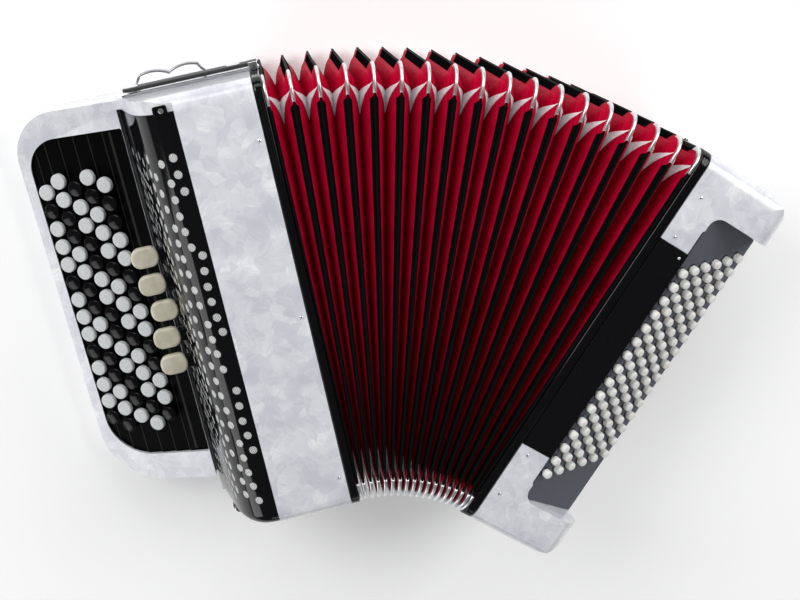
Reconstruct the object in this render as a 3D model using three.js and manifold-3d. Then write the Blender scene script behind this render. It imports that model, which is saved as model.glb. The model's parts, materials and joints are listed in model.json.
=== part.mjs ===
// Chromatic button accordion, bellows fanned open.
// Millimetres. +Z is the front (the side that faces the listener), +Y is the top, +X runs from the
// treble (button melody) side to the bass side. The instrument lies on its back.
// Construction frame: X = 0 is the bellows side of the treble casework, Y = 0 is mid height, Z = 0 the back.
import * as THREE from 'three';
import { mergeVertices } from 'three/addons/utils/BufferGeometryUtils.js';
import Module from 'manifold-3d';

const wasm = await Module();
wasm.setup();

// ---- driving dimensions -------------------------------------------------------------------------
const HEIGHT = 400;
const DEPTH = 166;
const HALF = HEIGHT / 2;
const GAP = 0.3;
const WALL = 3;
const EDGE_RADIUS = 14;
const CORNER_STEPS = 8;
const BIG = 400;

const STRIP_WIDTH = 67;
const WALL_FOOT = { x: -122, z: 62 };
const WALL_SHOULDER = { x: -108, z: 118 };
const CREST_CONTROL = { x: -100, z: 151 };
const GRILLE_FRONT = 163;
const GRILLE_TOP = 188;
const GRILLE_THICK = 2.5;
const GRILLE_SEAT = 58;
const CLOTH_THICK = 0.8;
const CLOTH_LOW = 112;

const RIM = { left: -228, top: 196, bottom: -178, radiusTop: 44, radiusBottom: 55, lip: 3 };
const BOARD = {
  left: -218, right: -123.5, top: 171, bottom: -150, radiusTop: 30, radiusBottom: 40, thick: 4,
};
const BOARD_SLOPE = 0.4517;
const BOARD_ANGLE = Math.atan(BOARD_SLOPE);
const ROW_ONE_X = -206;
const BOARD_AT_ROW_ONE = 31.7;

const TREBLE_PITCH = 17.7;
const TREBLE_ROW_SPACING = 15.55;
const TREBLE_ROW_COUNTS = [14, 15, 14, 15, 14];
const TREBLE_FIRST_Y = 123.5;
const TREBLE_CAP = { radius: 7.3, low: 3.9, high: 8.6, sides: 8 };
const TREBLE_RAIL = { width: 4, low: -7, slot: 5 };

const SWITCH = {
  count: 5, pitch: 26, firstY: 58, width: 19, thick: 9, outer: -142, inner: -98, z: 99, radius: 6,
};
const SWITCH_PRESSED = 3;
const SWITCH_TRAVEL = 4.5;
const SWITCH_CLEARANCE = 1;

const FRAME_THICK = 8;
const FRAME_BAR = 22;
const FOLDS = 17;
const FAN_ANGLE = THREE.MathUtils.degToRad(43.5);
const FAN_RADIUS = 130;
const FOLD = { thick: 4.6, bar: 26, inset: 1, radius: 16 };

const BASS = { outer: 107, back: 12, crest: 25, outline: 34 };
const BASS_START = FRAME_THICK + GAP;
const BASS_PANEL = { right: 40, top: 115, bottom: -110, thick: 4 };
const BASS_WINDOW = { left: 38.5, right: 102, half: 141, radius: 4, low: 60 };
const BASS_BOARD = {
  inner: 40.5, start: 2, z: 162, angle: THREE.MathUtils.degToRad(30), length: 76, half: 157, thick: 3,
  radius: 12, recessRadius: 11.5,
};
const BASS_ROWS = 6;
const BASS_PER_ROW = 16;
const BASS_PITCH = 14.9;
const BASS_ROW_SPACING = 11.9;
const BASS_FIRST = { along: 6.2, v: 98 };
const BASS_CAP = { radius: 4.25, low: 3.2, high: 7.4, sides: 6 };
const BASS_RAIL = { width: 2.6, low: -6, slot: 3.6 };

const STRAP = { z: 95, width: 20, thick: 3.2, pivotX: 4, reach: 106.7, end: 8, tail: 2.2, lift: 3.6 };
const STRAP_PLATE = { left: -112, right: 9, half: 7, thick: 2.2, lugReach: 4, lugHigh: 7, lugWide: 3 };
const STUD = { radius: 4.5, height: 2.6 };
const SHOULDER = { x: -102, width: 63, thick: 2.6, low: 54, high: 66, foot: 6, footThick: 2.5, steps: 16 };
const SHOULDER_HUMP = { base: 9, rise: 4.5, power: 0.8, ramp: 12 };
const LATCH = {
  left: -84, right: -72, bottom: 186.5, top: 194.5, thick: 2,
  knob: 2.2, knobX: -77, knobY: 190.5, knobHigh: 4.6,
};
const HAND_STRAP = { low: 6, high: 56, bulge: 28, thick: 3.6, half: 168, tab: 18, steps: 12 };
const WHEEL = { u: 62, z: 34, inner: 10, outer: 11, teeth: 20, high: 6 };
const AIR_BUTTON = { radius: 7, length: 9, v: 130, z: 84, sides: 24 };

const SOUNDBOARD = { margin: 4, low: 12, high: 14, pitch: 105, half: 42, windowLow: 66, windowHigh: 84 };
const REED_BLOCK = { cells: 10, half: 145, side: 3, floor: 5 };
const AXLE = {
  radius: 2.5, x: -132, z: 30, bottom: -142, top: 154, postAt: [-140, 0, 150], postX: 4, postY: 3,
};

// ---- materials ----------------------------------------------------------------------------------
const paint = (color, roughness, metalness = 0) => (
  new THREE.MeshStandardMaterial({ color, roughness, metalness }));
const pearl = () => paint(0xe9e9ec, 0.25);
const gloss = () => paint(0x0a0a0b, 0.15);
const darkPlastic = () => paint(0x3a3b40, 0.5);
const ivory = () => paint(0xe6e0cf, 0.35);
const whiteCap = () => paint(0xf2f2ee, 0.4);
const redCloth = () => paint(0xb3122b, 0.6);
const chrome = () => paint(0xc9ccd0, 0.15, 1);
const leather = () => paint(0x17171a, 0.65);
const wood = () => paint(0xb98a56, 0.7);
const meshCloth = () => paint(0x9a9a9a, 0.8);

// ---- solids -------------------------------------------------------------------------------------
function solid(geometry) {
  const plain = geometry.index ? geometry.toNonIndexed() : geometry.clone();
  plain.deleteAttribute('normal');
  plain.deleteAttribute('uv');
  const merged = mergeVertices(plain, 1e-4);
  return new wasm.Manifold(new wasm.Mesh({
    numProp: 3,
    vertProperties: new Float32Array(merged.attributes.position.array),
    triVerts: new Uint32Array(merged.index.array),
  }));
}

function node(name, shape, material) {
  const data = shape.getMesh();
  const geometry = new THREE.BufferGeometry();
  geometry.setAttribute('position', new THREE.BufferAttribute(new Float32Array(data.vertProperties), 3));
  geometry.setIndex(new THREE.BufferAttribute(new Uint32Array(data.triVerts), 1));
  geometry.computeVertexNormals();
  const mesh = new THREE.Mesh(geometry, material);
  mesh.name = name;
  return mesh;
}

function box(x0, x1, y0, y1, z0, z1) {
  const geometry = new THREE.BoxGeometry(x1 - x0, y1 - y0, z1 - z0);
  geometry.translate((x0 + x1) / 2, (y0 + y1) / 2, (z0 + z1) / 2);
  return solid(geometry);
}

function extrude(shape, from, to) {
  const geometry = new THREE.ExtrudeGeometry(shape, {
    depth: to - from, bevelEnabled: false, steps: 1, curveSegments: CORNER_STEPS,
  });
  geometry.translate(0, 0, from);
  return geometry;
}

// Shape given in (X, Y), swept along Z.
const alongZ = (shape, z0, z1) => solid(extrude(shape, z0, z1));

// Shape given in (X, Z), swept along Y.
function alongY(shape, y0, y1) {
  const geometry = extrude(shape, -y1, -y0);
  geometry.rotateX(Math.PI / 2);
  return solid(geometry);
}

// Shape given in (Y, Z), swept along X.
function alongX(shape, x0, x1) {
  const geometry = extrude(shape, x0, x1);
  geometry.applyMatrix4(new THREE.Matrix4().set(0, 0, 1, 0, 1, 0, 0, 0, 0, 1, 0, 0, 0, 0, 0, 1));
  return solid(geometry);
}

// Rectangle whose corners have their own radii, in the order lower left, lower right, upper right, upper left.
function roundedRect(x0, x1, y0, y1, [a, b, c, d]) {
  const shape = new THREE.Shape();
  shape.moveTo(x0 + a, y0);
  shape.lineTo(x1 - b, y0);
  if (b) shape.absarc(x1 - b, y0 + b, b, -Math.PI / 2, 0, false);
  shape.lineTo(x1, y1 - c);
  if (c) shape.absarc(x1 - c, y1 - c, c, 0, Math.PI / 2, false);
  shape.lineTo(x0 + d, y1);
  if (d) shape.absarc(x0 + d, y1 - d, d, Math.PI / 2, Math.PI, false);
  shape.lineTo(x0, y0 + a);
  if (a) shape.absarc(x0 + a, y0 + a, a, Math.PI, Math.PI * 1.5, false);
  return shape;
}

function polygon(points) {
  return new THREE.Shape(points.map(([x, y]) => new THREE.Vector2(x, y)));
}

function cylinder(radius, low, high, sides, x = 0, y = 0) {
  const geometry = new THREE.CylinderGeometry(radius, radius, high - low, sides);
  geometry.rotateX(Math.PI / 2);
  geometry.translate(x, y, (low + high) / 2);
  return solid(geometry);
}

// A round stub standing on a face that looks along +Y or -Y.
function stub(radius, x, z, y0, y1, sides = 12) {
  const geometry = new THREE.CylinderGeometry(radius, radius, Math.abs(y1 - y0), sides);
  geometry.translate(x, (y0 + y1) / 2, z);
  return solid(geometry);
}

const joinAll = (shapes) => shapes.reduce((sum, shape) => sum.add(shape));

// Outline of both end faces of a casework, in (Y, Z): soft front edges, smaller back edges.
const endOutline = (inset) => roundedRect(
  -HALF + inset, HALF - inset, inset, DEPTH - inset,
  [8 - inset, 8 - inset, EDGE_RADIUS - inset, EDGE_RADIUS - inset]);

// ---- treble casework ----------------------------------------------------------------------------
const boardHeight = (x) => BOARD_AT_ROW_ONE + BOARD_SLOPE * (x - ROW_ONE_X);

// Solid below a plane parallel to the fingerboard, offset upward by `lift`.
const underSlope = (lift) => alongY(polygon([
  [-BIG, -BIG], [BIG, -BIG], [BIG, boardHeight(BIG) + lift], [-BIG, boardHeight(-BIG) + lift]]), -BIG, BIG);

// Cross section in (X, Z) of the leaning grille wall and its crest, moved inward by `inset`.
function crestSection(inset, floor) {
  const shape = new THREE.Shape();
  shape.moveTo(10, floor);
  shape.lineTo(10, GRILLE_FRONT - inset);
  shape.lineTo(-STRIP_WIDTH, GRILLE_FRONT - inset);
  shape.bezierCurveTo(
    -88, GRILLE_FRONT - inset, CREST_CONTROL.x + inset, CREST_CONTROL.z - inset,
    WALL_SHOULDER.x + inset, WALL_SHOULDER.z);
  shape.lineTo(WALL_FOOT.x + inset, WALL_FOOT.z);
  shape.lineTo(WALL_FOOT.x + inset, floor);
  return shape;
}

function boardOutline(inset) {
  const { left, right, top, bottom, radiusTop, radiusBottom } = BOARD;
  return roundedRect(
    left + inset, right - inset, bottom + inset, top - inset,
    [radiusBottom - inset, 2, 2, radiusTop - inset]);
}

function trebleCasework() {
  const strip = alongX(endOutline(0), -STRIP_WIDTH, 0);
  const shoulder = alongX(endOutline(0), WALL_FOOT.x, -STRIP_WIDTH)
    .intersect(alongY(crestSection(0, -1), -HALF - 1, HALF + 1));
  const rimOutline = roundedRect(
    RIM.left, -100, RIM.bottom, RIM.top, [RIM.radiusBottom, 0, 0, RIM.radiusTop]);
  const rim = alongZ(rimOutline, 0, DEPTH).intersect(underSlope(RIM.lip));
  const grilleZone = box(-BIG, -STRIP_WIDTH, -BIG, GRILLE_TOP, GRILLE_SEAT, BIG)
    .intersect(box(WALL_FOOT.x - 1, BIG, -BIG, BIG, -BIG, BIG));
  const shell = strip.add(shoulder.subtract(grilleZone)).add(rim.subtract(grilleZone));
  const boardSeat = alongZ(boardOutline(-GAP), 0, DEPTH).subtract(underSlope(-BOARD.thick - GAP));
  const boardHollow = alongZ(boardOutline(5), WALL, DEPTH).intersect(underSlope(1));
  const mainHollow = alongX(endOutline(WALL), -BIG, 1)
    .intersect(alongY(crestSection(WALL, 0), -BIG, BIG));
  const passage = box(-140, -100, BOARD.bottom + 5, BOARD.top - 5, WALL, 54);
  return shell.subtract(boardSeat).subtract(boardHollow).subtract(mainHollow).subtract(passage);
}

// Solid with the grille's cross section; its lower end tucks in toward the strip.
function grilleBlank(inset, right, top, bottom) {
  const straight = alongY(crestSection(inset, -1), bottom, top);
  const endRound = alongX(
    roundedRect(bottom, BIG, -BIG, GRILLE_FRONT - inset, [0, 0, 0, 12]), -BIG, BIG);
  return straight.intersect(endRound).intersect(box(-BIG, right, -BIG, BIG, -BIG, BIG));
}

function switchY(index) {
  return SWITCH.firstY - (index - 1) * SWITCH.pitch;
}

function trebleGrille() {
  const outer = grilleBlank(0, -STRIP_WIDTH - GAP, GRILLE_TOP - GAP, -HALF)
    .intersect(box(-BIG, BIG, -BIG, BIG, GRILLE_SEAT + GAP, BIG));
  const inner = grilleBlank(GRILLE_THICK, 0, GRILLE_TOP - GRILLE_THICK, -HALF + GRILLE_THICK);
  const clearOfRim = underSlope(RIM.lip + GAP).intersect(box(-BIG, WALL_FOOT.x + 6, -BIG, BIG, -BIG, BIG));
  let grille = outer.subtract(inner).subtract(clearOfRim);
  for (let i = 1; i <= SWITCH.count; i += 1) {
    const half = SWITCH.width / 2 + SWITCH_CLEARANCE;
    const tall = SWITCH.thick / 2 + SWITCH_CLEARANCE;
    grille = grille.subtract(
      box(-130, -90, switchY(i) - half, switchY(i) + half, SWITCH.z - tall, SWITCH.z + tall));
  }
  return grille;
}

function grilleCloth() {
  const inset = GRILLE_THICK + GAP;
  const top = GRILLE_TOP - 6;
  const bottom = -HALF + 8;
  const outer = grilleBlank(inset, -STRIP_WIDTH - 2, top, bottom);
  const inner = grilleBlank(inset + CLOTH_THICK, 0, BIG, -BIG);
  return outer.subtract(inner).subtract(box(-BIG, BIG, -BIG, BIG, -BIG, CLOTH_LOW));
}

function fingerboardPlate() {
  const blank = alongZ(boardOutline(0), 0, DEPTH).intersect(underSlope(0)).subtract(underSlope(-BOARD.thick));
  const slots = TREBLE_ROW_COUNTS.map((count, row) => {
    const { high, low } = trebleRowSpan(row, count);
    const half = TREBLE_RAIL.slot / 2;
    const turn = -THREE.MathUtils.radToDeg(BOARD_ANGLE);
    const x = trebleRowX(row);
    return box(-half, half, low - 3, high + 3, -15, 15).rotate([0, turn, 0]).translate([x, 0, boardHeight(x)]);
  });
  return blank.subtract(joinAll(slots));
}

const trebleRowX = (row) => ROW_ONE_X + row * TREBLE_ROW_SPACING * Math.cos(BOARD_ANGLE);

function trebleRowSpan(row, count) {
  const high = TREBLE_FIRST_Y + (row % 2) * TREBLE_PITCH / 2;
  return { high, low: high - (count - 1) * TREBLE_PITCH };
}

// One row in the fingerboard's own tilted frame: caps standing on a rail that runs in a slot of the board.
function trebleRow(row, count) {
  const { high, low } = trebleRowSpan(row, count);
  const halfRail = TREBLE_RAIL.width / 2;
  const rail = box(-halfRail, halfRail, low - 1.5, high + 1.5, TREBLE_RAIL.low, TREBLE_CAP.low + 1);
  const caps = Array.from({ length: count }, (_, i) => cylinder(
    TREBLE_CAP.radius, TREBLE_CAP.low, TREBLE_CAP.high, TREBLE_CAP.sides, 0, high - i * TREBLE_PITCH));
  return rail.add(joinAll(caps));
}

function registerSwitch(index) {
  const shift = index === SWITCH_PRESSED ? SWITCH_TRAVEL : 0;
  const half = SWITCH.width / 2;
  const outline = roundedRect(
    SWITCH.outer + shift, SWITCH.inner + shift, switchY(index) - half, switchY(index) + half,
    [SWITCH.radius, 1, 1, SWITCH.radius]);
  return alongZ(outline, SWITCH.z - SWITCH.thick / 2, SWITCH.z + SWITCH.thick / 2);
}

// ---- bellows ------------------------------------------------------------------------------------
function rectRing(half, depth0, depth1, bar, radius, x0, x1) {
  const outer = roundedRect(-half, half, depth0, depth1, [radius, radius, radius, radius]);
  const inner = box(x0 - 1, x1 + 1, -half + bar, half - bar, depth0 + bar, depth1 - bar);
  return alongX(outer, x0, x1).subtract(inner);
}

const bellowsFrame = (x0, x1) => rectRing(HALF, 0, DEPTH, FRAME_BAR, EDGE_RADIUS, x0, x1);

const foldRing = () => rectRing(
  HALF - FOLD.inset, FOLD.inset, DEPTH - FOLD.inset, FOLD.bar, FOLD.radius, -FOLD.thick / 2, FOLD.thick / 2);

// Frame of fold number `index`, turned about the fan centre below the bellows.
function fanGroup(index) {
  const group = new THREE.Group();
  group.rotation.z = -FAN_ANGLE * index / FOLDS;
  const lift = new THREE.Vector2(0, HALF + FAN_RADIUS).rotateAround(new THREE.Vector2(), group.rotation.z);
  group.position.set(FRAME_THICK + lift.x, lift.y - HALF - FAN_RADIUS, 0);
  return group;
}

// ---- inner works --------------------------------------------------------------------------------
function soundboard(x0, x1) {
  const { margin, low, high, pitch, half, windowLow, windowHigh } = SOUNDBOARD;
  const plate = box(x0, x1, -HALF + margin, HALF - margin, low, DEPTH - high);
  const windows = [-1, 0, 1].map((i) => box(
    x0 - 1, x1 + 1, i * pitch - half, i * pitch + half, windowLow, windowHigh));
  return plate.subtract(joinAll(windows));
}

// Bar with air chambers cut in from its upper face.
function reedBlock(x0, x1, z0, z1) {
  const { cells, half, side, floor } = REED_BLOCK;
  const step = 2 * half / cells;
  const chambers = Array.from({ length: cells }, (_, i) => box(
    x0 + side, x1 - side, -half + i * step + side, -half + (i + 1) * step - side, z0 + floor, z1 + 1));
  return box(x0, x1, -half, half, z0, z1).subtract(joinAll(chambers));
}

// Rod under the fingerboard on which the key levers turn.
function keyAxle() {
  const { radius, x, z, bottom, top, postAt, postX, postY } = AXLE;
  const rod = stub(radius, x, z, bottom, top, 8);
  const posts = postAt.map((y) => box(x - postX, x + postX, y - postY, y + postY, WALL + GAP, z + 2));
  return rod.add(joinAll(posts));
}

// ---- outside fittings ---------------------------------------------------------------------------
// Wavy chrome strip with two arches for the shoulder strap, standing on the top face.
function shoulderBracket(side) {
  const { x: x0, width, thick, low, high, foot: reach, footThick, steps } = SHOULDER;
  const { base, rise, power, ramp } = SHOULDER_HUMP;
  const foot = HALF + GAP;
  const line = (offset) => Array.from({ length: steps + 1 }, (_, i) => {
    const t = i / steps;
    const hump = base + rise * Math.abs(Math.sin(2 * Math.PI * t)) ** power;
    const edge = Math.min(1, Math.min(t, 1 - t) * ramp);
    return [x0 + offset + t * (width - 2 * offset), foot + hump * edge - offset];
  });
  const outer = [[x0 - reach, foot], [x0 - reach, foot + footThick], ...line(0).slice(1, -1),
    [x0 + width + reach, foot + footThick], [x0 + width + reach, foot]];
  const inner = [[x0 + thick, foot - 1], ...line(thick).slice(1, -1), [x0 + width - thick, foot - 1]];
  const strip = alongZ(polygon(outer), low, high).subtract(alongZ(polygon(inner), low - 1, high + 1));
  return side > 0 ? strip : strip.mirror([0, 1, 0]);
}

// Chrome plate under the bellows strap: hinge lugs at the bellows edge, parking stud at the far end.
function strapBracket() {
  const { left, right, half, thick, lugReach, lugHigh, lugWide } = STRAP_PLATE;
  const side = STRAP.width / 2;
  const base = box(left, right, HALF + GAP, HALF + thick, STRAP.z - half, STRAP.z + half);
  const parked = stub(STUD.radius, STRAP.pivotX - STRAP.reach, STRAP.z, HALF + 1, HALF + STUD.height);
  const lugs = [-1, 1].map((s) => {
    const from = STRAP.z + s * (side + GAP);
    const to = STRAP.z + s * (side + lugWide);
    return box(STRAP.pivotX - lugReach, STRAP.pivotX + lugReach, HALF + GAP, HALF + lugHigh,
      Math.min(from, to), Math.max(from, to));
  });
  const foot = box(STRAP.pivotX - lugReach, STRAP.pivotX + lugReach, HALF + GAP, HALF + thick,
    STRAP.z - side - lugWide, STRAP.z + side + lugWide);
  return base.add(foot).add(parked).add(joinAll(lugs));
}

function bellowsStrap() {
  const low = HALF + STRAP.lift;
  const x0 = STRAP.pivotX - STRAP.reach - STRAP.end;
  const half = STRAP.width / 2;
  const shape = roundedRect(x0, STRAP.pivotX + STRAP.tail, STRAP.z - half, STRAP.z + half, [9, 2, 2, 9]);
  return alongY(shape, low, low + STRAP.thick);
}

const mirrored = (shape, side) => (side > 0 ? shape : shape.mirror([0, 1, 0]));

function grilleLatch() {
  const low = GRILLE_FRONT + GAP;
  const plate = box(LATCH.left, LATCH.right, LATCH.bottom, LATCH.top, low, GRILLE_FRONT + LATCH.thick);
  const knob = cylinder(LATCH.knob, low, GRILLE_FRONT + LATCH.knobHigh, 10, LATCH.knobX, LATCH.knobY);
  return plate.add(knob);
}

// ---- bass side (its own frame: u outward from the bellows, v up, z front) --------------------------
function bassSection(inset) {
  const out = BASS.outer - inset;
  return roundedRect(
    -20, out, inset, DEPTH - inset, [0, BASS.back - inset, BASS.crest - inset, 0]);
}

function bassBlank(inset) {
  const outline = roundedRect(
    -20, BASS.outer - inset, -HALF + inset, HALF - inset, [0, BASS.outline - inset, BASS.outline - inset, 0]);
  return alongY(bassSection(inset), -HALF - 1, HALF + 1)
    .intersect(alongZ(outline, -1, DEPTH + 1))
    .intersect(alongX(endOutline(inset), -21, BASS.outer + 1));
}

// Everything above the button board's plane lowered by `drop`, between two v limits.
function aboveBassBoard(drop, half, start) {
  const fall = Math.tan(BASS_BOARD.angle);
  const z0 = BASS_BOARD.z - drop - fall * (start - BASS_BOARD.inner);
  const shape = polygon([[start, z0], [BIG, z0 - fall * (BIG - start)], [BIG, BIG], [start, BIG]]);
  return alongY(shape, -half, half);
}

function bassCasework() {
  const drop = (BASS_BOARD.thick + GAP) / Math.cos(BASS_BOARD.angle);
  const blank = bassBlank(0).intersect(box(BASS_START, BIG, -BIG, BIG, -BIG, BIG));
  const { recessRadius, half } = BASS_BOARD;
  const recessOutline = roundedRect(
    BASS_BOARD.inner - GAP, BIG, -half - GAP, half + GAP, [recessRadius, 0, 0, recessRadius]);
  const recess = aboveBassBoard(drop, BASS_BOARD.half + GAP, BASS_BOARD.inner - GAP)
    .intersect(alongZ(recessOutline, -1, BIG));
  const inside = bassBlank(WALL);
  const roof = aboveBassBoard(drop + 4, BASS_BOARD.half + 4, 0);
  const { left, right, half: windowHalf, radius } = BASS_WINDOW;
  const window = alongZ(
    roundedRect(left, right, -windowHalf, windowHalf, [radius, radius, radius, radius]),
    BASS_WINDOW.low, DEPTH + 1);
  const panelSeat = box(0, BASS_PANEL.right + GAP, BASS_PANEL.bottom - GAP, BASS_PANEL.top + GAP,
    DEPTH - BASS_PANEL.thick - GAP, BIG);
  const airBore = airValve(AIR_BUTTON.radius + 2 * GAP, -2 * WALL, 1);
  return blank.subtract(recess).subtract(inside.subtract(roof)).subtract(window).subtract(panelSeat)
    .subtract(airBore);
}

const bassFrontPanel = () => box(
  BASS_START + GAP, BASS_PANEL.right, BASS_PANEL.bottom, BASS_PANEL.top, DEPTH - BASS_PANEL.thick, DEPTH);

function bassRowSpan(row) {
  const high = BASS_FIRST.v + row * BASS_PITCH / 2;
  return { high, low: high - (BASS_PER_ROW - 1) * BASS_PITCH };
}

// In the board's tilted frame: X down the slope, Z along the board's normal.
function bassButtonBoard() {
  const outline = roundedRect(
    BASS_BOARD.start, BASS_BOARD.length, -BASS_BOARD.half, BASS_BOARD.half,
    [BASS_BOARD.radius, 1, 1, BASS_BOARD.radius]);
  const slots = Array.from({ length: BASS_ROWS }, (_, row) => {
    const x = BASS_FIRST.along + row * BASS_ROW_SPACING;
    const { high, low } = bassRowSpan(row);
    const half = BASS_RAIL.slot / 2;
    return box(x - half, x + half, low - 3, high + 3, -BIG, BIG);
  });
  return alongZ(outline, -BASS_BOARD.thick, 0).subtract(joinAll(slots));
}

function bassRow(row) {
  const { high, low } = bassRowSpan(row);
  const half = BASS_RAIL.width / 2;
  const rail = box(-half, half, low - 1.5, high + 1.5, BASS_RAIL.low, BASS_CAP.low + 0.8);
  const caps = Array.from({ length: BASS_PER_ROW }, (_, i) => cylinder(
    BASS_CAP.radius, BASS_CAP.low, BASS_CAP.high, BASS_CAP.sides, 0, high - i * BASS_PITCH));
  return rail.add(joinAll(caps));
}

// Leather band bowed away from the bass side so that a hand fits behind it.
function handStrap() {
  const { bulge, thick, half, tab, low, high, steps } = HAND_STRAP;
  const base = BASS.outer + GAP;
  const line = (offset) => Array.from({ length: steps + 1 }, (_, i) => {
    const t = i / steps;
    const v = -half + tab + t * 2 * (half - tab);
    return [base + offset + bulge * Math.sin(Math.PI * t), v];
  });
  const points = [[base, -half], [base + thick, -half], ...line(thick), [base + thick, half], [base, half],
    ...line(0).reverse()];
  return alongZ(polygon(points), low, high);
}

function strapWheel() {
  const shape = polygon(Array.from({ length: WHEEL.teeth * 2 }, (_, i) => {
    const angle = Math.PI * i / WHEEL.teeth;
    const radius = i % 2 ? WHEEL.inner : WHEEL.outer;
    return [WHEEL.u + radius * Math.cos(angle), WHEEL.z + radius * Math.sin(angle)];
  }));
  return alongY(shape, HALF + GAP, HALF + WHEEL.high);
}

// Round bar at the air button's place, between two distances out from the casework's end wall.
function airValve(radius, from, to) {
  const geometry = new THREE.CylinderGeometry(radius, radius, to - from, AIR_BUTTON.sides);
  geometry.rotateZ(Math.PI / 2);
  geometry.translate(BASS.outer + (from + to) / 2, AIR_BUTTON.v, AIR_BUTTON.z);
  return solid(geometry);
}

const airButton = () => airValve(AIR_BUTTON.radius, GAP, GAP + AIR_BUTTON.length);

// ---- assembly -----------------------------------------------------------------------------------
const part = new THREE.Group();
const place = (group, name, shape, material) => group.add(node(name, shape, material));

place(part, 'treble_casework', trebleCasework(), pearl());
place(part, 'treble_grille', trebleGrille(), gloss());
place(part, 'grille_cloth', grilleCloth(), meshCloth());
place(part, 'fingerboard_plate', fingerboardPlate(), gloss());

TREBLE_ROW_COUNTS.forEach((count, row) => {
  const tilted = new THREE.Group();
  tilted.rotation.y = -BOARD_ANGLE;
  tilted.position.set(trebleRowX(row), 0, boardHeight(trebleRowX(row)));
  place(tilted, `treble_button_row_${row + 1}`, trebleRow(row, count), whiteCap());
  part.add(tilted);
});

for (let i = 1; i <= SWITCH.count; i += 1) {
  place(part, `register_switch_${i}`, registerSwitch(i), ivory());
}

place(part, 'treble_bellows_frame', bellowsFrame(GAP, FRAME_THICK), gloss());
place(part, 'treble_soundboard', soundboard(-14, -9), wood());
place(part, 'treble_reed_block_1', reedBlock(-8.7, 30, 36, 60), wood());
place(part, 'treble_reed_block_2', reedBlock(-8.7, 30, 90, 114), wood());
place(part, 'treble_key_axle', keyAxle(), chrome());
place(part, 'grille_latch', grilleLatch(), chrome());

[['top', 1], ['bottom', -1]].forEach(([end, side]) => {
  place(part, `shoulder_bracket_${end}`, shoulderBracket(side), chrome());
  place(part, `strap_bracket_${end}`, mirrored(strapBracket(), side), chrome());
  place(part, `bellows_strap_${end}`, mirrored(bellowsStrap(), side), leather());
});

for (let i = 1; i < FOLDS; i += 1) {
  const fold = fanGroup(i);
  place(fold, `fold_${String(i).padStart(2, '0')}`, foldRing(), redCloth());
  part.add(fold);
}

const bass = fanGroup(FOLDS);
part.add(bass);
place(bass, 'bass_bellows_frame', bellowsFrame(-1, FRAME_THICK), gloss());
place(bass, 'bass_casework', bassCasework(), pearl());
place(bass, 'bass_front_panel', bassFrontPanel(), gloss());
place(bass, 'bass_soundboard', soundboard(17, 22), wood());
place(bass, 'bass_reed_block', reedBlock(-22, 16.7, 63, 87), wood());
place(bass, 'hand_strap', handStrap(), leather());
place(bass, 'hand_strap_wheel', strapWheel(), chrome());
place(bass, 'air_button', airButton(), ivory());
[['top', 1], ['bottom', -1]].forEach(([end, side]) => {
  const stud = stub(STUD.radius, 4, STRAP.z, HALF + GAP, HALF + STUD.height);
  place(bass, `bass_strap_stud_${end}`, mirrored(stud, side), chrome());
});

const bassTilt = new THREE.Group();
bassTilt.rotation.y = BASS_BOARD.angle;
bassTilt.position.set(BASS_BOARD.inner, 0, BASS_BOARD.z);
bass.add(bassTilt);
place(bassTilt, 'bass_button_board', bassButtonBoard(), darkPlastic());
for (let row = 0; row < BASS_ROWS; row += 1) {
  const slot = new THREE.Group();
  slot.position.set(BASS_FIRST.along + row * BASS_ROW_SPACING, 0, 0);
  place(slot, `bass_button_row_${row + 1}`, bassRow(row), ivory());
  bassTilt.add(slot);
}

// The origin is the middle of the back: the centre of the bounding box, at the height of its lowest face.
const bounds = new THREE.Box3().setFromObject(part, true);
const middle = bounds.getCenter(new THREE.Vector3());
part.position.set(-middle.x, -middle.y, -bounds.min.z);

export default part;
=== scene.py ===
"""Chromatic button accordion with its bellows fanned open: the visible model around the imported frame.

Local frames are in millimetres, as in the CAD source: DESIGN has X = 0 at the bellows side of the treble
casework, Y = 0 at mid height and Z = 0 at the back. fan(k) is the frame of fold number k, with u outward
from the bellows' treble end, v up and z to the front.
"""
import itertools
import json
import random
from math import atan, cos, pi, radians, sin, sqrt

import bmesh
import bpy
import numpy as np
from mathutils import Matrix, Vector, geometry


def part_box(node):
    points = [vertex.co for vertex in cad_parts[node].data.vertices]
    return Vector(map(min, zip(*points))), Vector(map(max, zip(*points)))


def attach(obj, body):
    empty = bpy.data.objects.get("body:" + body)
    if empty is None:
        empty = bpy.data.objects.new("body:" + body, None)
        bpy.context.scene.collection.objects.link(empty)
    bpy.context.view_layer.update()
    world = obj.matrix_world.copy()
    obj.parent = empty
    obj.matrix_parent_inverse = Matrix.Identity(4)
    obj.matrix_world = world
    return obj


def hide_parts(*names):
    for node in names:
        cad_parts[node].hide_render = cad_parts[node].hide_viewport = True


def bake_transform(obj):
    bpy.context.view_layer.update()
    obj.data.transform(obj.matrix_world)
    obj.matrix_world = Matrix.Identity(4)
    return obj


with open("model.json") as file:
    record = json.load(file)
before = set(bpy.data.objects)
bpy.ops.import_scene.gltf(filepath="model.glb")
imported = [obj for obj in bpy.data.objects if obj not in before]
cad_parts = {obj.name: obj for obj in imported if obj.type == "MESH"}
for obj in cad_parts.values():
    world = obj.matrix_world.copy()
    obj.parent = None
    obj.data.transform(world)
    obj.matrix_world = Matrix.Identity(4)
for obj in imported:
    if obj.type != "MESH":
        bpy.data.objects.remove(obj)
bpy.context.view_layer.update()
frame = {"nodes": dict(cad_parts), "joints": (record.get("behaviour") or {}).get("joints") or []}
NODES = frame["nodes"]
JOINTS = {joint["name"]: joint for joint in frame["joints"]}

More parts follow.
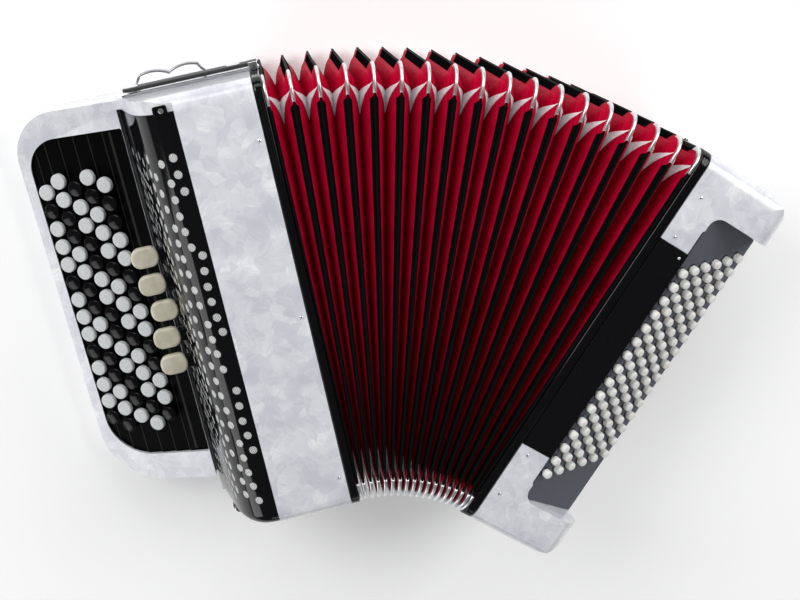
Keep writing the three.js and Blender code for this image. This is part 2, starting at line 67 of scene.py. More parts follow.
# ---- frames ----
MM = 0.001
FOLDS = 17
FRAME_THICK = 8
FAN_RADIUS = 130
FRAME_LOW, FRAME_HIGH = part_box("treble_bellows_frame")
HALF = (FRAME_HIGH.y - FRAME_LOW.y) / 2 / MM
DEPTH = (FRAME_HIGH.z - FRAME_LOW.z) / MM
FAN_ANGLE = radians(JOINTS["bellows_fan"]["range_deg"][1])
ORIGIN = Vector((FRAME_HIGH.x - FRAME_THICK * MM, (FRAME_LOW.y + FRAME_HIGH.y) / 2, FRAME_LOW.z))
DESIGN = Matrix.Translation(ORIGIN) @ Matrix.Diagonal((MM, MM, MM, 1))


def move(x, y, z):
    return Matrix.Translation((x, y, z))


def add_object(name, data):
    made = bpy.data.objects.new(name, data)
    bpy.context.scene.collection.objects.link(made)
    return made


def fan(number):
    """Frame of fold `number`, turned about the fan's centre below the bellows."""
    turn = Matrix.Rotation(-FAN_ANGLE * number / FOLDS, 4, "Z")
    arm = HALF + FAN_RADIUS
    return DESIGN @ move(FRAME_THICK, -arm, 0) @ turn @ move(0, arm, 0)


BASS = fan(FOLDS)

# ---- sizes that the pieces share with the CAD design ----
GRILLE_EDGE = -67.3
WALL_FOOT = Vector((-122, 62))
WALL_SHOULDER = Vector((-108, 118))
CREST_CONTROLS = (Vector((-88, 163)), Vector((-100, 151)))
GRILLE_FRONT = 163
GRILLE_TOP = 187.7
GRILLE_THICK = 0.25
GAUZE_DEPTH, GAUZE_THICK = 0.3, 0.4
BOARD = {"left": -218, "right": -123.5, "top": 171, "bottom": -150, "radius_top": 30, "radius_bottom": 40}
BOARD_SLOPE = 0.4517
BOARD_ANGLE = atan(BOARD_SLOPE)
ROW_ONE_X = -206
BOARD_AT_ROW_ONE = 31.7
TREBLE_ROWS = 5
ROW_SPACING = 15.55
BUTTON_PITCH = 17.7
FIRST_BUTTON = 123.5
CAP_RADIUS = 7.3
SWITCH = {"count": 5, "pitch": 26, "first": 58, "width": 19, "thick": 9, "length": 25, "outer": -142, "z": 99,
          "pressed": 3, "travel": 4.5}
BASS_OUTER = 107
BASS_BOARD = {"inner": 40.5, "z": 162, "angle": radians(30), "start": 2, "length": 76, "half": 157,
              "radius": 12}
BASS_ROWS, BASS_PER_ROW = 6, 16
BASS_PITCH, BASS_ROW_SPACING = 14.9, 11.9
BASS_FIRST = (6.2, 98)
BASS_HOLE = 4.75
STRAP_Z, STRAP_WIDTH = 95, 20
STRAP_PIVOT, STRAP_REACH = 4, 106.7
STRAP_LOW, STRAP_THICK = HALF + 3.6, 3.2

TREBLE_BOARD = DESIGN @ move(ROW_ONE_X, 0, BOARD_AT_ROW_ONE) @ Matrix.Rotation(-BOARD_ANGLE, 4, "Y")
BASS_TILT = BASS @ move(BASS_BOARD["inner"], 0, BASS_BOARD["z"])
BASS_TILT = BASS_TILT @ Matrix.Rotation(BASS_BOARD["angle"], 4, "Y")


# ---- camera ----
CAMERA_EYE = (14.6, 319.6, 1189.4)
CAMERA_TARGET = (87.7, -41.1, 83)
CAMERA_UP = (0.227, 0.93, -0.288)
LENS = 55.5


def camera():
    data = bpy.data.cameras.new("camera")
    data.lens = LENS
    data.sensor_width = 36
    data.clip_end = 20
    body = add_object("camera", data)
    eye, target = DESIGN @ Vector(CAMERA_EYE), DESIGN @ Vector(CAMERA_TARGET)
    back = (eye - target).normalized()
    right = Vector(CAMERA_UP).cross(back).normalized()
    turn = Matrix((right, back.cross(right), back)).transposed()
    body.matrix_world = Matrix.Translation(eye) @ turn.to_4x4()
    bpy.context.scene.camera = body


camera()


# ---- materials ----
class Paint:
    """A node material. Even values are set on the shader's own sockets, and patterns are linked to them."""

    def __init__(self, name, color, **sockets):
        self.material = bpy.data.materials.new(name)
        self.material.use_nodes = True
        self.tree = self.material.node_tree
        self.shader = self.tree.nodes["Principled BSDF"]
        self.shader.inputs["Base Color"].default_value = (*color, 1)
        for socket, value in sockets.items():
            self.shader.inputs[socket.replace("_", " ")].default_value = value
        self.where = self.add("TexCoord").outputs["Object"]

    def add(self, kind, settings=None, **inputs):
        node = self.tree.nodes.new("ShaderNode" + kind)
        for key, value in (settings or {}).items():
            setattr(node, key, value)
        for key, value in inputs.items():
            self.feed(node.inputs[int(key[1:]) if key[0] == "_" else key], value)
        return node

    def feed(self, socket, value):
        if isinstance(value, bpy.types.NodeSocket):
            self.tree.links.new(value, socket)
        else:
            socket.default_value = value

    def scaled(self, x, y, z):
        return self.add("VectorMath", {"operation": "MULTIPLY"}, _0=self.where, _1=(x, y, z)).outputs[0]

    def noise(self, scale, detail, where=None):
        return self.add("TexNoise", Vector=where or self.where, Scale=scale, Detail=detail).outputs["Fac"]

    def wave(self, direction, scale, where=None, **inputs):
        inputs = {"Vector": where or self.where, "Scale": scale, **inputs}
        return self.add("TexWave", {"bands_direction": direction}, **inputs).outputs["Fac"]

    def cells(self, scale, **settings):
        return self.add("TexVoronoi", settings, Vector=self.where, Scale=scale).outputs["Distance"]

    def math(self, operation, a, b):
        return self.add("Math", {"operation": operation}, _0=a, _1=b).outputs[0]

    def total(self, *parts):
        """Sum of (value, weight) pairs."""
        first, *rest = [self.math("MULTIPLY", value, weight) for value, weight in parts]
        for part in rest:
            first = self.math("ADD", first, part)
        return first

    def tint(self, value, *stops):
        """Base colour from a pattern; stops are (position, colour or grey)."""
        node = self.add("ValToRGB", Fac=value)
        band = node.color_ramp
        while len(band.elements) < len(stops):
            band.elements.new(0.5)
        for element, (position, color) in zip(band.elements, stops):
            element.position = position
            element.color = (*color, 1) if isinstance(color, tuple) else (color, color, color, 1)
        self.feed(self.shader.inputs["Base Color"], node.outputs["Color"])
        return self

    def rough(self, value, low, high):
        node = self.add("MapRange", Value=value, **{"To Min": low, "To Max": high})
        self.feed(self.shader.inputs["Roughness"], node.outputs["Result"])
        return self

    def bump(self, height, depth, strength):
        """Adds relief `depth` mm deep, on top of any relief that is already there."""
        node = self.add("Bump", Height=height, Distance=depth * MM, Strength=strength)
        before = self.shader.inputs["Normal"]
        if before.is_linked:
            self.feed(node.inputs["Normal"], before.links[0].from_socket)
        self.feed(before, node.outputs["Normal"])
        return self


def pearloid():
    """Celluloid of overlapping pearly flakes, each with its own tone and streak direction."""
    paint = Paint("pearloid", (0.74, 0.74, 0.8), Roughness=0.24, Coat_Weight=0.5, Coat_Roughness=0.1)
    wobble = paint.add("TexNoise", Vector=paint.where, Scale=38.0, Detail=3.0).outputs["Color"]
    shift = paint.add("VectorMath", {"operation": "MULTIPLY_ADD"}, _0=wobble, _1=(0.016,) * 3, _2=paint.where)
    flakes = paint.add("TexVoronoi", Vector=shift.outputs[0], Scale=95.0, Randomness=1.0)
    spread = paint.add("VectorMath", {"operation": "MULTIPLY_ADD"}, _0=flakes.outputs["Color"],
                       _1=(2, 2, 2), _2=(-1, -1, -1)).outputs[0]
    across = paint.add("VectorMath", {"operation": "DOT_PRODUCT"}, _0=shift.outputs[0], _1=spread)
    along = paint.math("MULTIPLY", across.outputs["Value"], 330.0)
    streak = paint.add("TexNoise", {"noise_dimensions": "1D"}, W=along, Scale=1.0, Detail=3.0).outputs["Fac"]
    tone = paint.add("SeparateColor", Color=flakes.outputs["Color"]).outputs["Green"]
    shade = paint.total((tone, 0.14), (streak, 0.22), (paint.noise(30, 6), 0.58))
    paint.tint(shade, (0.34, (0.62, 0.63, 0.695)), (0.46, (0.735, 0.745, 0.8)), (0.56, (0.81, 0.82, 0.86)),
               (0.66, (0.97, 0.97, 0.98)))
    return paint.rough(shade, 0.34, 0.16).material


def gloss_black():
    paint = Paint("gloss_black", (0.003, 0.003, 0.004), Roughness=0.08, Specular_IOR_Level=0.38)
    paint.tint(paint.noise(900, 4), (0.55, (0.002, 0.002, 0.003)), (0.8, (0.008, 0.008, 0.01)))
    return paint.rough(paint.noise(70, 5), 0.05, 0.13).bump(paint.noise(60, 2), 0.06, 0.25).material


def satin(name, color, rough, specular):
    """Satin lacquer with a fine grain."""
    paint = Paint(name, color, Roughness=rough, Specular_IOR_Level=specular)
    grain = paint.noise(1500, 3)
    paint.tint(grain, (0.3, tuple(c * 0.7 for c in color)), (0.75, color))
    return paint.rough(paint.noise(90, 4), rough * 0.8, rough * 1.25).bump(grain, 0.05, 0.5).material


def chrome(name, rough, tone=1.0):
    low, high = (0.74 * tone, 0.75 * tone, 0.77 * tone), (0.86 * tone, 0.87 * tone, 0.88 * tone)
    paint = Paint(name, high, Metallic=1.0, Roughness=rough)
    haze = paint.noise(60, 3)
    paint.tint(haze, (0.3, low), (0.7, high))
    return paint.rough(haze, rough * 0.8, rough * 1.3).material


def ivory(name, dark, light):
    paint = Paint(name, light, Roughness=0.3, Coat_Weight=0.35, Coat_Roughness=0.15,
                  Subsurface_Weight=0.12, Subsurface_Scale=0.002)
    cloud = paint.noise(120, 4)
    paint.tint(cloud, (0.3, dark), (0.65, light))
    return paint.rough(cloud, 0.25, 0.42).bump(paint.noise(700, 3), 0.03, 0.4).material


def button_white():
    """Non-slip caps: white with a fine pebbled surface."""
    paint = Paint("button_white", (0.8, 0.82, 0.83), Roughness=0.5, Specular_IOR_Level=0.4)
    pebble = paint.cells(1300.0)
    paint.tint(paint.noise(500, 3), (0.3, (0.6, 0.63, 0.64)), (0.7, (0.72, 0.745, 0.75)))
    return paint.rough(pebble, 0.4, 0.6).bump(pebble, 0.12, 0.6).material


def button_black():
    paint = Paint("button_black", (0.004, 0.004, 0.005), Roughness=0.14, Specular_IOR_Level=0.2)
    speck = paint.noise(600, 3)
    paint.tint(speck, (0.4, (0.002, 0.002, 0.003)), (0.8, (0.008, 0.008, 0.009)))
    return paint.rough(speck, 0.08, 0.2).bump(paint.noise(1100, 2), 0.03, 0.3).material


def satin_red():
    """Red satin over card, woven along and across each card."""
    paint = Paint("satin_red", (0.45, 0.005, 0.03), Roughness=0.5, Specular_IOR_Level=0.01)
    paint.where = paint.add("UVMap", {"uv_map": "cloth"}).outputs["UV"]
    threads = paint.wave("Y", 500.0, Distortion=1.0, Detail=1.0)
    weave = paint.math("MULTIPLY", threads, paint.wave("X", 360.0, Distortion=1.0, Detail=1.0))
    shade = paint.total((paint.noise(60, 5, paint.scaled(1, 9, 1)), 0.8), (weave, 0.25))
    paint.tint(shade, (0.25, (0.34, 0.001, 0.017)), (0.6, (0.62, 0.004, 0.042)), (0.85, (0.74, 0.012, 0.062)))
    return paint.rough(shade, 0.34, 0.52).bump(weave, 0.06, 0.5).bump(paint.noise(90, 3), 0.25, 0.3).material


def tape_black():
    """Black book-cloth tape over the crests."""
    paint = Paint("tape_black", (0.003, 0.003, 0.004), Roughness=0.6, Specular_IOR_Level=0.0)
    warp, weft = (paint.wave(way, 420.0, Distortion=2.0, Detail=2.0) for way in "XY")
    weave = paint.math("MAXIMUM", warp, weft)
    paint.tint(weave, (0.2, (0.0015, 0.0015, 0.002)), (0.9, (0.005, 0.0055, 0.006)))
    return paint.rough(paint.noise(140, 4), 0.42, 0.6).bump(weave, 0.08, 0.5).material


def gusset_white():
    """Thin pearly leather folded into the corners."""
    paint = Paint("gusset_white", (0.8, 0.79, 0.83), Roughness=0.4, Coat_Weight=0.2, Sheen_Weight=0.1)
    # One noise lifts the leather into creases and also sets its colour: painted shade darkens the low creases
    # and painted highlight lightens the raised folds.
    crease_relief_and_shade = paint.noise(240, 5)
    paint.tint(crease_relief_and_shade, (0.3, (0.82, 0.81, 0.86)), (0.5, (0.93, 0.92, 0.95)), (0.7, (0.98, 0.98, 0.99)))
    return paint.rough(crease_relief_and_shade, 0.32, 0.5).bump(crease_relief_and_shade, 0.5, 0.5).bump(paint.cells(1100.0), 0.08, 0.4).material


def leather():
    paint = Paint("leather", (0.014, 0.014, 0.015), Roughness=0.45, Specular_IOR_Level=0.45)
    grain = paint.math("MINIMUM", paint.cells(650.0, feature="DISTANCE_TO_EDGE"), 0.12)
    wear = paint.noise(60, 5)
    paint.tint(wear, (0.35, (0.009, 0.009, 0.01)), (0.75, (0.028, 0.027, 0.028)))
    return paint.rough(wear, 0.36, 0.58).bump(grain, 1.2, 0.5).material


def thread():
    paint = Paint("thread", (0.05, 0.05, 0.052), Roughness=0.7, Sheen_Weight=0.3)
    twist = paint.wave("DIAGONAL", 900.0)
    paint.tint(twist, (0.2, (0.03, 0.03, 0.032)), (0.9, (0.09, 0.09, 0.095)))
    return paint.bump(twist, 0.1, 0.8).material


def gauze():
    """Silver wire gauze behind the grille."""
    paint = Paint("gauze", (0.7, 0.7, 0.68), Metallic=0.35, Roughness=0.45)
    warp, weft = (paint.wave("DIAGONAL", 260.0, where) for where in (paint.where, paint.scaled(1, -1, 1)))
    wires_and_gap_shade = paint.math("MAXIMUM", warp, weft)
    # Silver on the wires and dark between them: the dark is painted shade of the hollow seen through the
    # gauze's gaps.
    paint.tint(wires_and_gap_shade, (0.35, (0.12, 0.12, 0.13)), (0.6, (0.72, 0.73, 0.72)), (0.95, (0.86, 0.87, 0.86)))
    return paint.rough(wires_and_gap_shade, 0.6, 0.35).bump(wires_and_gap_shade, 0.35, 0.8).material


def wood():
    paint = Paint("reed_wood", (0.45, 0.28, 0.14), Roughness=0.5)
    rings = paint.add("TexWave", {"bands_direction": "X", "wave_type": "RINGS"}, Vector=paint.scaled(6, 1, 5),
                      Scale=12.0, Distortion=5.0, Detail=4.0).outputs["Fac"]
    paint.tint(rings, (0.2, (0.3, 0.17, 0.08)), (0.8, (0.55, 0.37, 0.2)))
    return paint.rough(rings, 0.45, 0.65).bump(rings, 0.15, 0.4).material


def floor_paint():
    """Pale matt floor with a little light of its own, as under a light tent."""
    paint = Paint("floor", (0.9, 0.9, 0.9), Roughness=0.9, Emission_Color=(1, 1, 1, 1), Emission_Strength=0.2)
    return paint.tint(paint.noise(4, 2), (0.3, 0.9), (0.7, 0.93)).material


PEARL = pearloid()
GLOSS = gloss_black()
SLATE = satin("slate_grey", (0.115, 0.122, 0.152), 0.42, 0.35)
# Grey of the fingerboard's ribs and band, lighter than the board: painted highlight of the step edges.
STEP_HIGHLIGHT_GREY = satin("step_painted_highlight_grey", (0.024, 0.024, 0.023), 0.4, 0.15)
BOARD_PAINT = satin("fingerboard_black", (0.0012, 0.0012, 0.0015), 0.4, 0.04)
CREST = satin("crest_black", (0.005, 0.0065, 0.0065), 0.5, 0.02)
CHROME = chrome("chrome", 0.14)
WIRE = chrome("corner_chrome", 0.3)
DARK_CHROME = chrome("bracket_chrome", 0.16, 0.5)
IVORY = ivory("ivory", (0.62, 0.58, 0.44), (0.74, 0.71, 0.58))
BASS_CAP = ivory("ivory_white", (0.8, 0.8, 0.76), (0.9, 0.9, 0.88))
WHITE_CAP = button_white()
BLACK_CAP = button_black()
RED = satin_red()
TAPE = tape_black()
GUSSET = gusset_white()
LEATHER = leather()
THREAD = thread()
GAUZE = gauze()
WOOD = wood()


# ---- mesh building ----
def loft(rings, loop=False):
    """Points and faces of a surface through closed rings; its ends are capped unless it loops."""
    count, total = len(rings[0]), len(rings)
    faces = []
    for i in range(total if loop else total - 1):
        a, b = i * count, (i + 1) % total * count
        faces += [(a + j, a + (j + 1) % count, b + (j + 1) % count, b + j) for j in range(count)]
    if not loop:
        faces += [tuple(range(count))[::-1], tuple(range((total - 1) * count, total * count))]
    return [point for ring in rings for point in ring], faces


def rounded(x0, x1, y0, y1, radii, steps):
    """Rectangle with its own radius at each corner: lower left, lower right, upper right, upper left."""
    if not isinstance(radii, (tuple, list)):
        radii = (radii,) * 4
    centres = ((x0, y0, 1, 1, 180), (x1, y0, -1, 1, 270), (x1, y1, -1, -1, 0), (x0, y1, 1, -1, 90))
    points = []
    for radius, (x, y, sx, sy, start) in zip(radii, centres):
        radius = max(radius, 0.01)
        for i in range(steps + 1):
            angle = radians(start + 90 * i / steps)
            points.append((x + radius * (sx + cos(angle)), y + radius * (sy + sin(angle))))
    return points


def soft_edges(low, high, radius):
    """(inset, height) pairs of a plate whose two edges are rounded."""
    arc = [(radius * (1 - sin(a)), radius * (1 - cos(a))) for a in (0, pi / 6, pi / 3, pi / 2)]
    return [(inset, low + rise) for inset, rise in arc] + [(inset, high - rise) for inset, rise in arc[::-1]]


def lathe(profile, sides):
    """A body of revolution about Z from (radius, height) pairs, capped at both ends."""
    angles = [2 * pi * i / sides for i in range(sides)]
    return loft([[(radius * cos(a), radius * sin(a), height) for a in angles]
                 for radius, height in profile])


def walk(path):
    """Each point of a path of 2-D vectors, with the path's direction and its left normal there."""
    for i, point in enumerate(path):
        along = (path[min(i + 1, len(path) - 1)] - path[max(i - 1, 0)]).normalized()
        yield point, along, Vector((-along.y, along.x))


def plate(outline, profile):
    """outline(inset) gives the plate's edge, and profile its (inset, height) pairs."""
    return loft([[(x, y, height) for x, y in outline(inset)] for inset, height in profile])


class Build:
    """Closed shells in one local frame that become one piece."""

    def __init__(self, place):
        self.place, self.points, self.faces, self.marks, self.cloth = place, [], [], [], []

    def put(self, shell, mark=0, turn=Matrix(), marks=None, cloth=None):
        points, faces = shell
        start = len(self.points)
        place = self.place @ turn
        self.points += [place @ Vector(point) for point in points]
        self.faces += [tuple(start + i for i in face) for face in faces]
        self.marks += marks or [mark] * len(faces)
        self.cloth += cloth or [None] * len(faces)
        return self

    def piece(self, name, body, *materials, slot, replaces=(), angle=35):
        """Makes the piece; one without a body is not attached to any body."""
        mesh = bpy.data.meshes.new(name)
        mesh.from_pydata(self.points, [], self.faces)
        for material in materials:
            mesh.materials.append(material)
        mesh.polygons.foreach_set("material_index", self.marks)
        if any(self.cloth):
            layer = mesh.uv_layers.new(name="cloth")
            flat = [uv for face, uvs in zip(self.faces, self.cloth) for uv in (uvs or [(0, 0)] * len(face))]
            layer.data.foreach_set("uv", [value for uv in flat for value in uv])
        edit = bmesh.new()
        edit.from_mesh(mesh)
        bmesh.ops.recalc_face_normals(edit, faces=edit.faces)
        edit.to_mesh(mesh)
        edit.free()
        mesh.polygons.foreach_set("use_smooth", [True] * len(mesh.polygons))
        mesh.set_sharp_from_angle(angle=radians(angle))
        made = add_object(name, mesh)
        if body:
            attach(made, body)
        if replaces:
            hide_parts(*replaces)
        return made


def dress(name, material, width, slot):
    """Gives a carried-over CAD node its material, and rounds its hard edges."""
    node = NODES[name]
    node.data.materials.clear()
    node.data.materials.append(material)
    weld = node.modifiers.new("weld", "WELD")
    weld.merge_threshold = 0.01 * MM
    bevel = node.modifiers.new("soft_edges", "BEVEL")
    bevel.width = width * MM
    bevel.segments = 3
    bevel.limit_method = "ANGLE"
    bevel.angle_limit = radians(30)
    bevel.harden_normals = True
    bevel.miter_outer = "MITER_ARC"


def triangulate(outline, holes, lines=()):
    """Triangles of a flat convex outline less its holes; lines are extra edges along which it can bend."""
    points, edges = [], []
    for loop in (outline, *(hole.ring() for hole in holes)):
        start = len(points)
        points += [Vector(point) for point in loop]
        edges += [(start + i, start + (i + 1) % len(loop)) for i in range(len(loop))]
    for a, b in lines:
        edges.append((len(points), len(points) + 1))
        points += [Vector(a), Vector(b)]
    flat, _, faces, *_ = geometry.delaunay_2d_cdt(points, edges, [], 0, 1e-4)
    flat = np.array([tuple(point) for point in flat])
    faces = np.array([face for face in faces if len(face) == 3])
    centres = flat[faces].mean(axis=1)
    keep = np.ones(len(faces), bool)
    for hole in holes:
        keep &= hole.level(centres) > 1
    return flat, faces[keep]


class Hole:
    """A hole whose edge is a superellipse: power 2 is an ellipse, and a high power a rounded rectangle."""

    def __init__(self, x, y, half_x, half_y, power=2, sides=16):
        self.x, self.y, self.half_x, self.half_y = x, y, half_x, half_y
        self.power, self.sides = power, sides

    def ring(self):
        points = []
        for i in range(self.sides):
            angle = 2 * pi * (i + 0.5) / self.sides
            c, s = cos(angle), sin(angle)
            reach = (abs(c) ** self.power + abs(s) ** self.power) ** (-1 / self.power)
            points.append((self.x + self.half_x * reach * c, self.y + self.half_y * reach * s))
        return points

    def level(self, points):
        x = np.abs(points[:, 0] - self.x) / self.half_x
        y = np.abs(points[:, 1] - self.y) / self.half_y
        return x ** self.power + y ** self.power


def pierced_shell(flat, faces, surface, thick, holes, chamfer):
    """A sheet of triangles given thickness, with a small chamfer round each hole.

    surface(x, y, depth) is the point `depth` below the outer face.
    """
    edges = {}
    for face in faces:
        for a, b in zip(face, np.roll(face, -1)):
            edges.setdefault((min(a, b), max(a, b)), []).append((a, b))
    rim = [uses[0] for uses in edges.values() if len(uses) == 1]
    on_rim = sorted({i for edge in rim for i in edge})
    outer = flat.copy()
    for hole in holes:
        near = [i for i in on_rim if abs(flat[i][0] - hole.x) < hole.half_x + 0.1
                and abs(flat[i][1] - hole.y) < hole.half_y + 0.1]
        for i in near:
            outer[i][0] = hole.x + (flat[i][0] - hole.x) * (1 + chamfer / hole.half_x)
            outer[i][1] = hole.y + (flat[i][1] - hole.y) * (1 + chamfer / hole.half_y)
    count = len(flat)
    lip = {i: 2 * count + n for n, i in enumerate(on_rim)}
    points = [surface(x, y, 0) for x, y in outer] + [surface(x, y, thick) for x, y in flat]
    points += [surface(*flat[i], chamfer) for i in on_rim]
    made = [tuple(int(i) for i in face) for face in faces]
    made += [tuple(int(i) + count for i in face[::-1]) for face in faces]
    for a, b in rim:
        made.append((int(b), int(a), lip[a], lip[b]))
        made.append((lip[b], lip[a], int(a) + count, int(b) + count))
    return points, made


# ---- carried-over CAD nodes ----
for material, slot, bevel, names in (
        (PEARL, "pearloid", 1.1, ("treble_casework", "bass_casework")),
        (GLOSS, "black_gloss", 0.8, ("bass_front_panel",)),
        (CHROME, "chrome", 0.5, ("strap_bracket_top", "strap_bracket_bottom")),
        (CHROME, "chrome", 0.7, ("bass_strap_stud_top", "bass_strap_stud_bottom")),
        (CHROME, "chrome", 0.4, ("treble_key_axle",)),
        (WOOD, "reed_wood", 0.6, ("treble_soundboard", "treble_reed_block_1", "treble_reed_block_2",
                                  "bass_soundboard", "bass_reed_block"))):
    for name in names:
        dress(name, material, bevel, slot)


# ---- bellows ----
CREST_HALF = HALF - 1
CREST_DEEP = DEPTH / 2 - 1
CREST_RADIUS = 16
CREST_STEPS = 6
HALF_ARC = CREST_RADIUS * pi / 4
CARD = 29
CARD_THICK = 0.7
CARD_INSET = 1.0
CARD_GAP = 0.7
CARD_SWELL = 0.15
TAPE_SHARE = 0.27
TAPE_THICK = 0.35
BARE_CORNER = 24
CORNER_COLUMNS = (0, 3.5, 7, 10.5, 14, 20, 27)
FAN_OUT = 40
FRONT_PANELS = 5
GUSSET_LENGTH = 20
GUSSET_RISE = 11.5
GUSSET_EDGE = 0.4
GUSSET_TIP = 0.06
GUSSET_THICK = (0.05, 0.5)
GUSSET_STEPS, GUSSET_COLUMNS = 7, 5
CAP_LEGS = {"top": 8, "bottom": 5, "side": 3}
CAP_STEPS = 8
CAP_END, CAP_SHRINK = 0.6, 0.35
CREST_ENDS = (1.5, -2.5)
STEP_ANGLE = FAN_ANGLE / FOLDS


def pitch(v):
    return 2 * (HALF + FAN_RADIUS + v) * sin(STEP_ANGLE / 2)


def fold_depth(v):
    """How far the valley lies inside the crest, from the card's fixed width."""
    return sqrt(CARD ** 2 - (pitch(v) / 2) ** 2)


def half_quarters():
    """(up, front, toward_front, forwards) for each stretch from a corner to a mid side, in order round."""
    for up, front, first_front in ((1, 1, True), (-1, 1, False), (-1, -1, True), (1, -1, False)):
        yield up, front, not first_front, False
        yield up, front, first_front, True


def crest_outline(s, toward_front, inset):
    """(a, b) on the crest, s along it from the middle of a corner; a is up and b forward from the centre."""
    radius = CREST_RADIUS - inset
    half_arc = radius * pi / 4
    a0, b0 = CREST_HALF - CREST_RADIUS, CREST_DEEP - CREST_RADIUS
    if s > half_arc:
        straight = s - half_arc
        return (a0 - straight, b0 + radius) if toward_front else (a0 + radius, b0 - straight)
    angle = pi / 4 + (s / radius if toward_front else -s / radius)
    return a0 + radius * cos(angle), b0 + radius * sin(angle)


def card_line(up, toward_front, q):
    """Crest and valley points of the card at q from the valley's corner, and the crest point's s."""
    corner_a = CREST_HALF - fold_depth(up * CREST_HALF)
    corner_b = CREST_DEEP - fold_depth(up * corner_a)
    a, b = corner_a, corner_b - q
    if toward_front:
        a, b = corner_a - q, CREST_DEEP - fold_depth(up * (corner_a - q))
    edge = (CREST_HALF if toward_front else CREST_DEEP) - CREST_RADIUS
    inner = corner_a if toward_front else corner_b
    half_arc = (CREST_RADIUS - CARD_INSET) * pi / 4
    if q < FAN_OUT:
        s = (half_arc + edge - (inner - FAN_OUT)) * q / FAN_OUT
    else:
        s = half_arc + edge - (inner - q)
    return crest_outline(s, toward_front, CARD_INSET), (a, b), s


class Pleat:
    """The V of cloth-covered card between crest number - 1 and crest number."""

    def __init__(self, number):
        self.left, self.middle, self.right = fan(number - 1), fan(number - 0.5), fan(number)
        self.out = (self.middle.to_3x3() @ Vector((1, 0, 0))).normalized()

    def spread(self, up, front, toward_front, half, q, t, lift):
        """Point of one card at share t of its width from crest to valley, lifted off its face."""
        crest, valley, _ = card_line(up, toward_front, q)
        side = self.left if half < 0 else self.right
        high = side @ Vector((-half * CARD_GAP, up * crest[0], DEPTH / 2 + front * crest[1]))
        low = self.middle @ Vector((0, up * valley[0], DEPTH / 2 + front * valley[1]))
        down = low - high
        across = abs(down.dot(self.out))
        inward = down - self.out * down.dot(self.out)
        face = (-half * self.out * inward.length - inward.normalized() * across).normalized()
        free = max(0.0, (t - TAPE_SHARE) / (1 - TAPE_SHARE))
        swell = CARD_SWELL * across * sin(pi * free ** 0.75)
        return high + down * t + face * (lift * MM + swell)


def card_columns():
    """(up, front, toward_front, q) round the whole outline."""
    found = []
    for up, front, toward_front, forwards in half_quarters():
        along = (CREST_HALF if toward_front else CREST_DEEP) - fold_depth(up * CREST_HALF)
        panels = FRONT_PANELS if toward_front else 1
        far = [FAN_OUT + (along - FAN_OUT) * i / panels for i in range(panels)]
        steps = [*CORNER_COLUMNS, *far]
        found += [(up, front, toward_front, q) for q in (steps if forwards else steps[:0:-1])]
    return found


COLUMNS = card_columns()
TAPED = [(0, TAPE_THICK), (TAPE_SHARE - 0.01, TAPE_THICK)]
CLOTH = [(t, 0) for t in (TAPE_SHARE, 0.32, 0.38, 0.5, 0.65, 0.82, 1)]
CARD_SECTION = [*((-1, *step) for step in TAPED + CLOTH), *((1, *step) for step in (TAPED + CLOTH)[-2::-1]),
                *((1, t, -CARD_THICK) for t in (0, 0.5, 1)), *((-1, t, -CARD_THICK) for t in (0.5, 0))]


def card_faces(rings):
    """Material and cloth coordinates of each face: tape along the crests, but not at the corners."""
    total = len(COLUMNS)
    reach = [card_line(up, toward_front, q)[2] for up, _, toward_front, q in COLUMNS]
    marks, cloth, start = [], [], 0.0
    for i in range(total):
        after = (i + 1) % total
        end = start + (rings[after][0] - rings[i][0]).length
        bare = max(reach[i], reach[after]) < BARE_CORNER
        for (_, t0, lift0), (_, t1, lift1) in zip(CARD_SECTION, CARD_SECTION[1:] + CARD_SECTION[:1]):
            marks.append(int(max(lift0, lift1) > 0 and not bare))
            v0, v1 = CARD * t0 * MM, CARD * t1 * MM
            cloth.append([(start, v0), (start, v1), (end, v1), (end, v0)])
        start = end
    return marks, cloth


def pleat(number):
    """One pleat with its eight gussets, built between its two folds."""
    shape = Pleat(number)
    rings = [[shape.spread(*column[:3], half, column[3], t, lift) for half, t, lift in CARD_SECTION]
             for column in COLUMNS]
    marks, cloth = card_faces(rings)
    build = Build(Matrix())
    build.put(loft(rings, loop=True), marks=marks, cloth=cloth)
    for up, front, half in itertools.product((1, -1), (1, -1), (-1, 1)):
        build.put(gusset(shape, up, front, half), mark=2)
    made = build.piece(f"bellows_pleat_{number:02d}", None, RED, TAPE, GUSSET, slot="bellows_red")
    if number < FOLDS:
        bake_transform(made)
    else:
        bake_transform(made)


def card_height(up, q, t):
    """Height up the crest of the point q along a front card and t across it."""
    crest, valley, _ = card_line(up, True, q)
    return crest[0] * (1 - t) + valley[0] * t


def card_place(up, height, t):
    """The q at which a front card reaches that height, by halving."""
    low, high = 0.0, FAN_OUT
    for _ in range(24):
        middle = (low + high) / 2
        if card_height(up, middle, t) > height:
            low = middle
        else:
            high = middle
    return low


def gusset(shape, up, front, half):
    """Leather corner piece on the front of one card, from a point on the crest to its full length below."""
    rings = []
    low, high_lift = GUSSET_THICK
    valley = card_line(up, True, 0)[1][0]
    for i in range(GUSSET_STEPS + 1):
        share = i / GUSSET_STEPS
        t = GUSSET_TIP + (1 - GUSSET_TIP) * share
        high = valley + GUSSET_RISE * (1 - share) ** 1.2
        near = card_place(up, high, t)
        far = card_place(up, high - GUSSET_EDGE - GUSSET_LENGTH * share ** 1.5, t)
        offsets = [near + (far - near) * n / GUSSET_COLUMNS for n in range(GUSSET_COLUMNS + 1)]
        edge = [(q, high_lift) for q in offsets] + [(q, low) for q in offsets[::-1]]
        rings.append([shape.spread(up, front, True, half, q, t, lift) for q, lift in edge])
    return loft(rings)


def outline_frame(up, front, toward_front, s, inset):
    a, b = crest_outline(s, toward_front, inset)
    return up * a, DEPTH / 2 + front * b


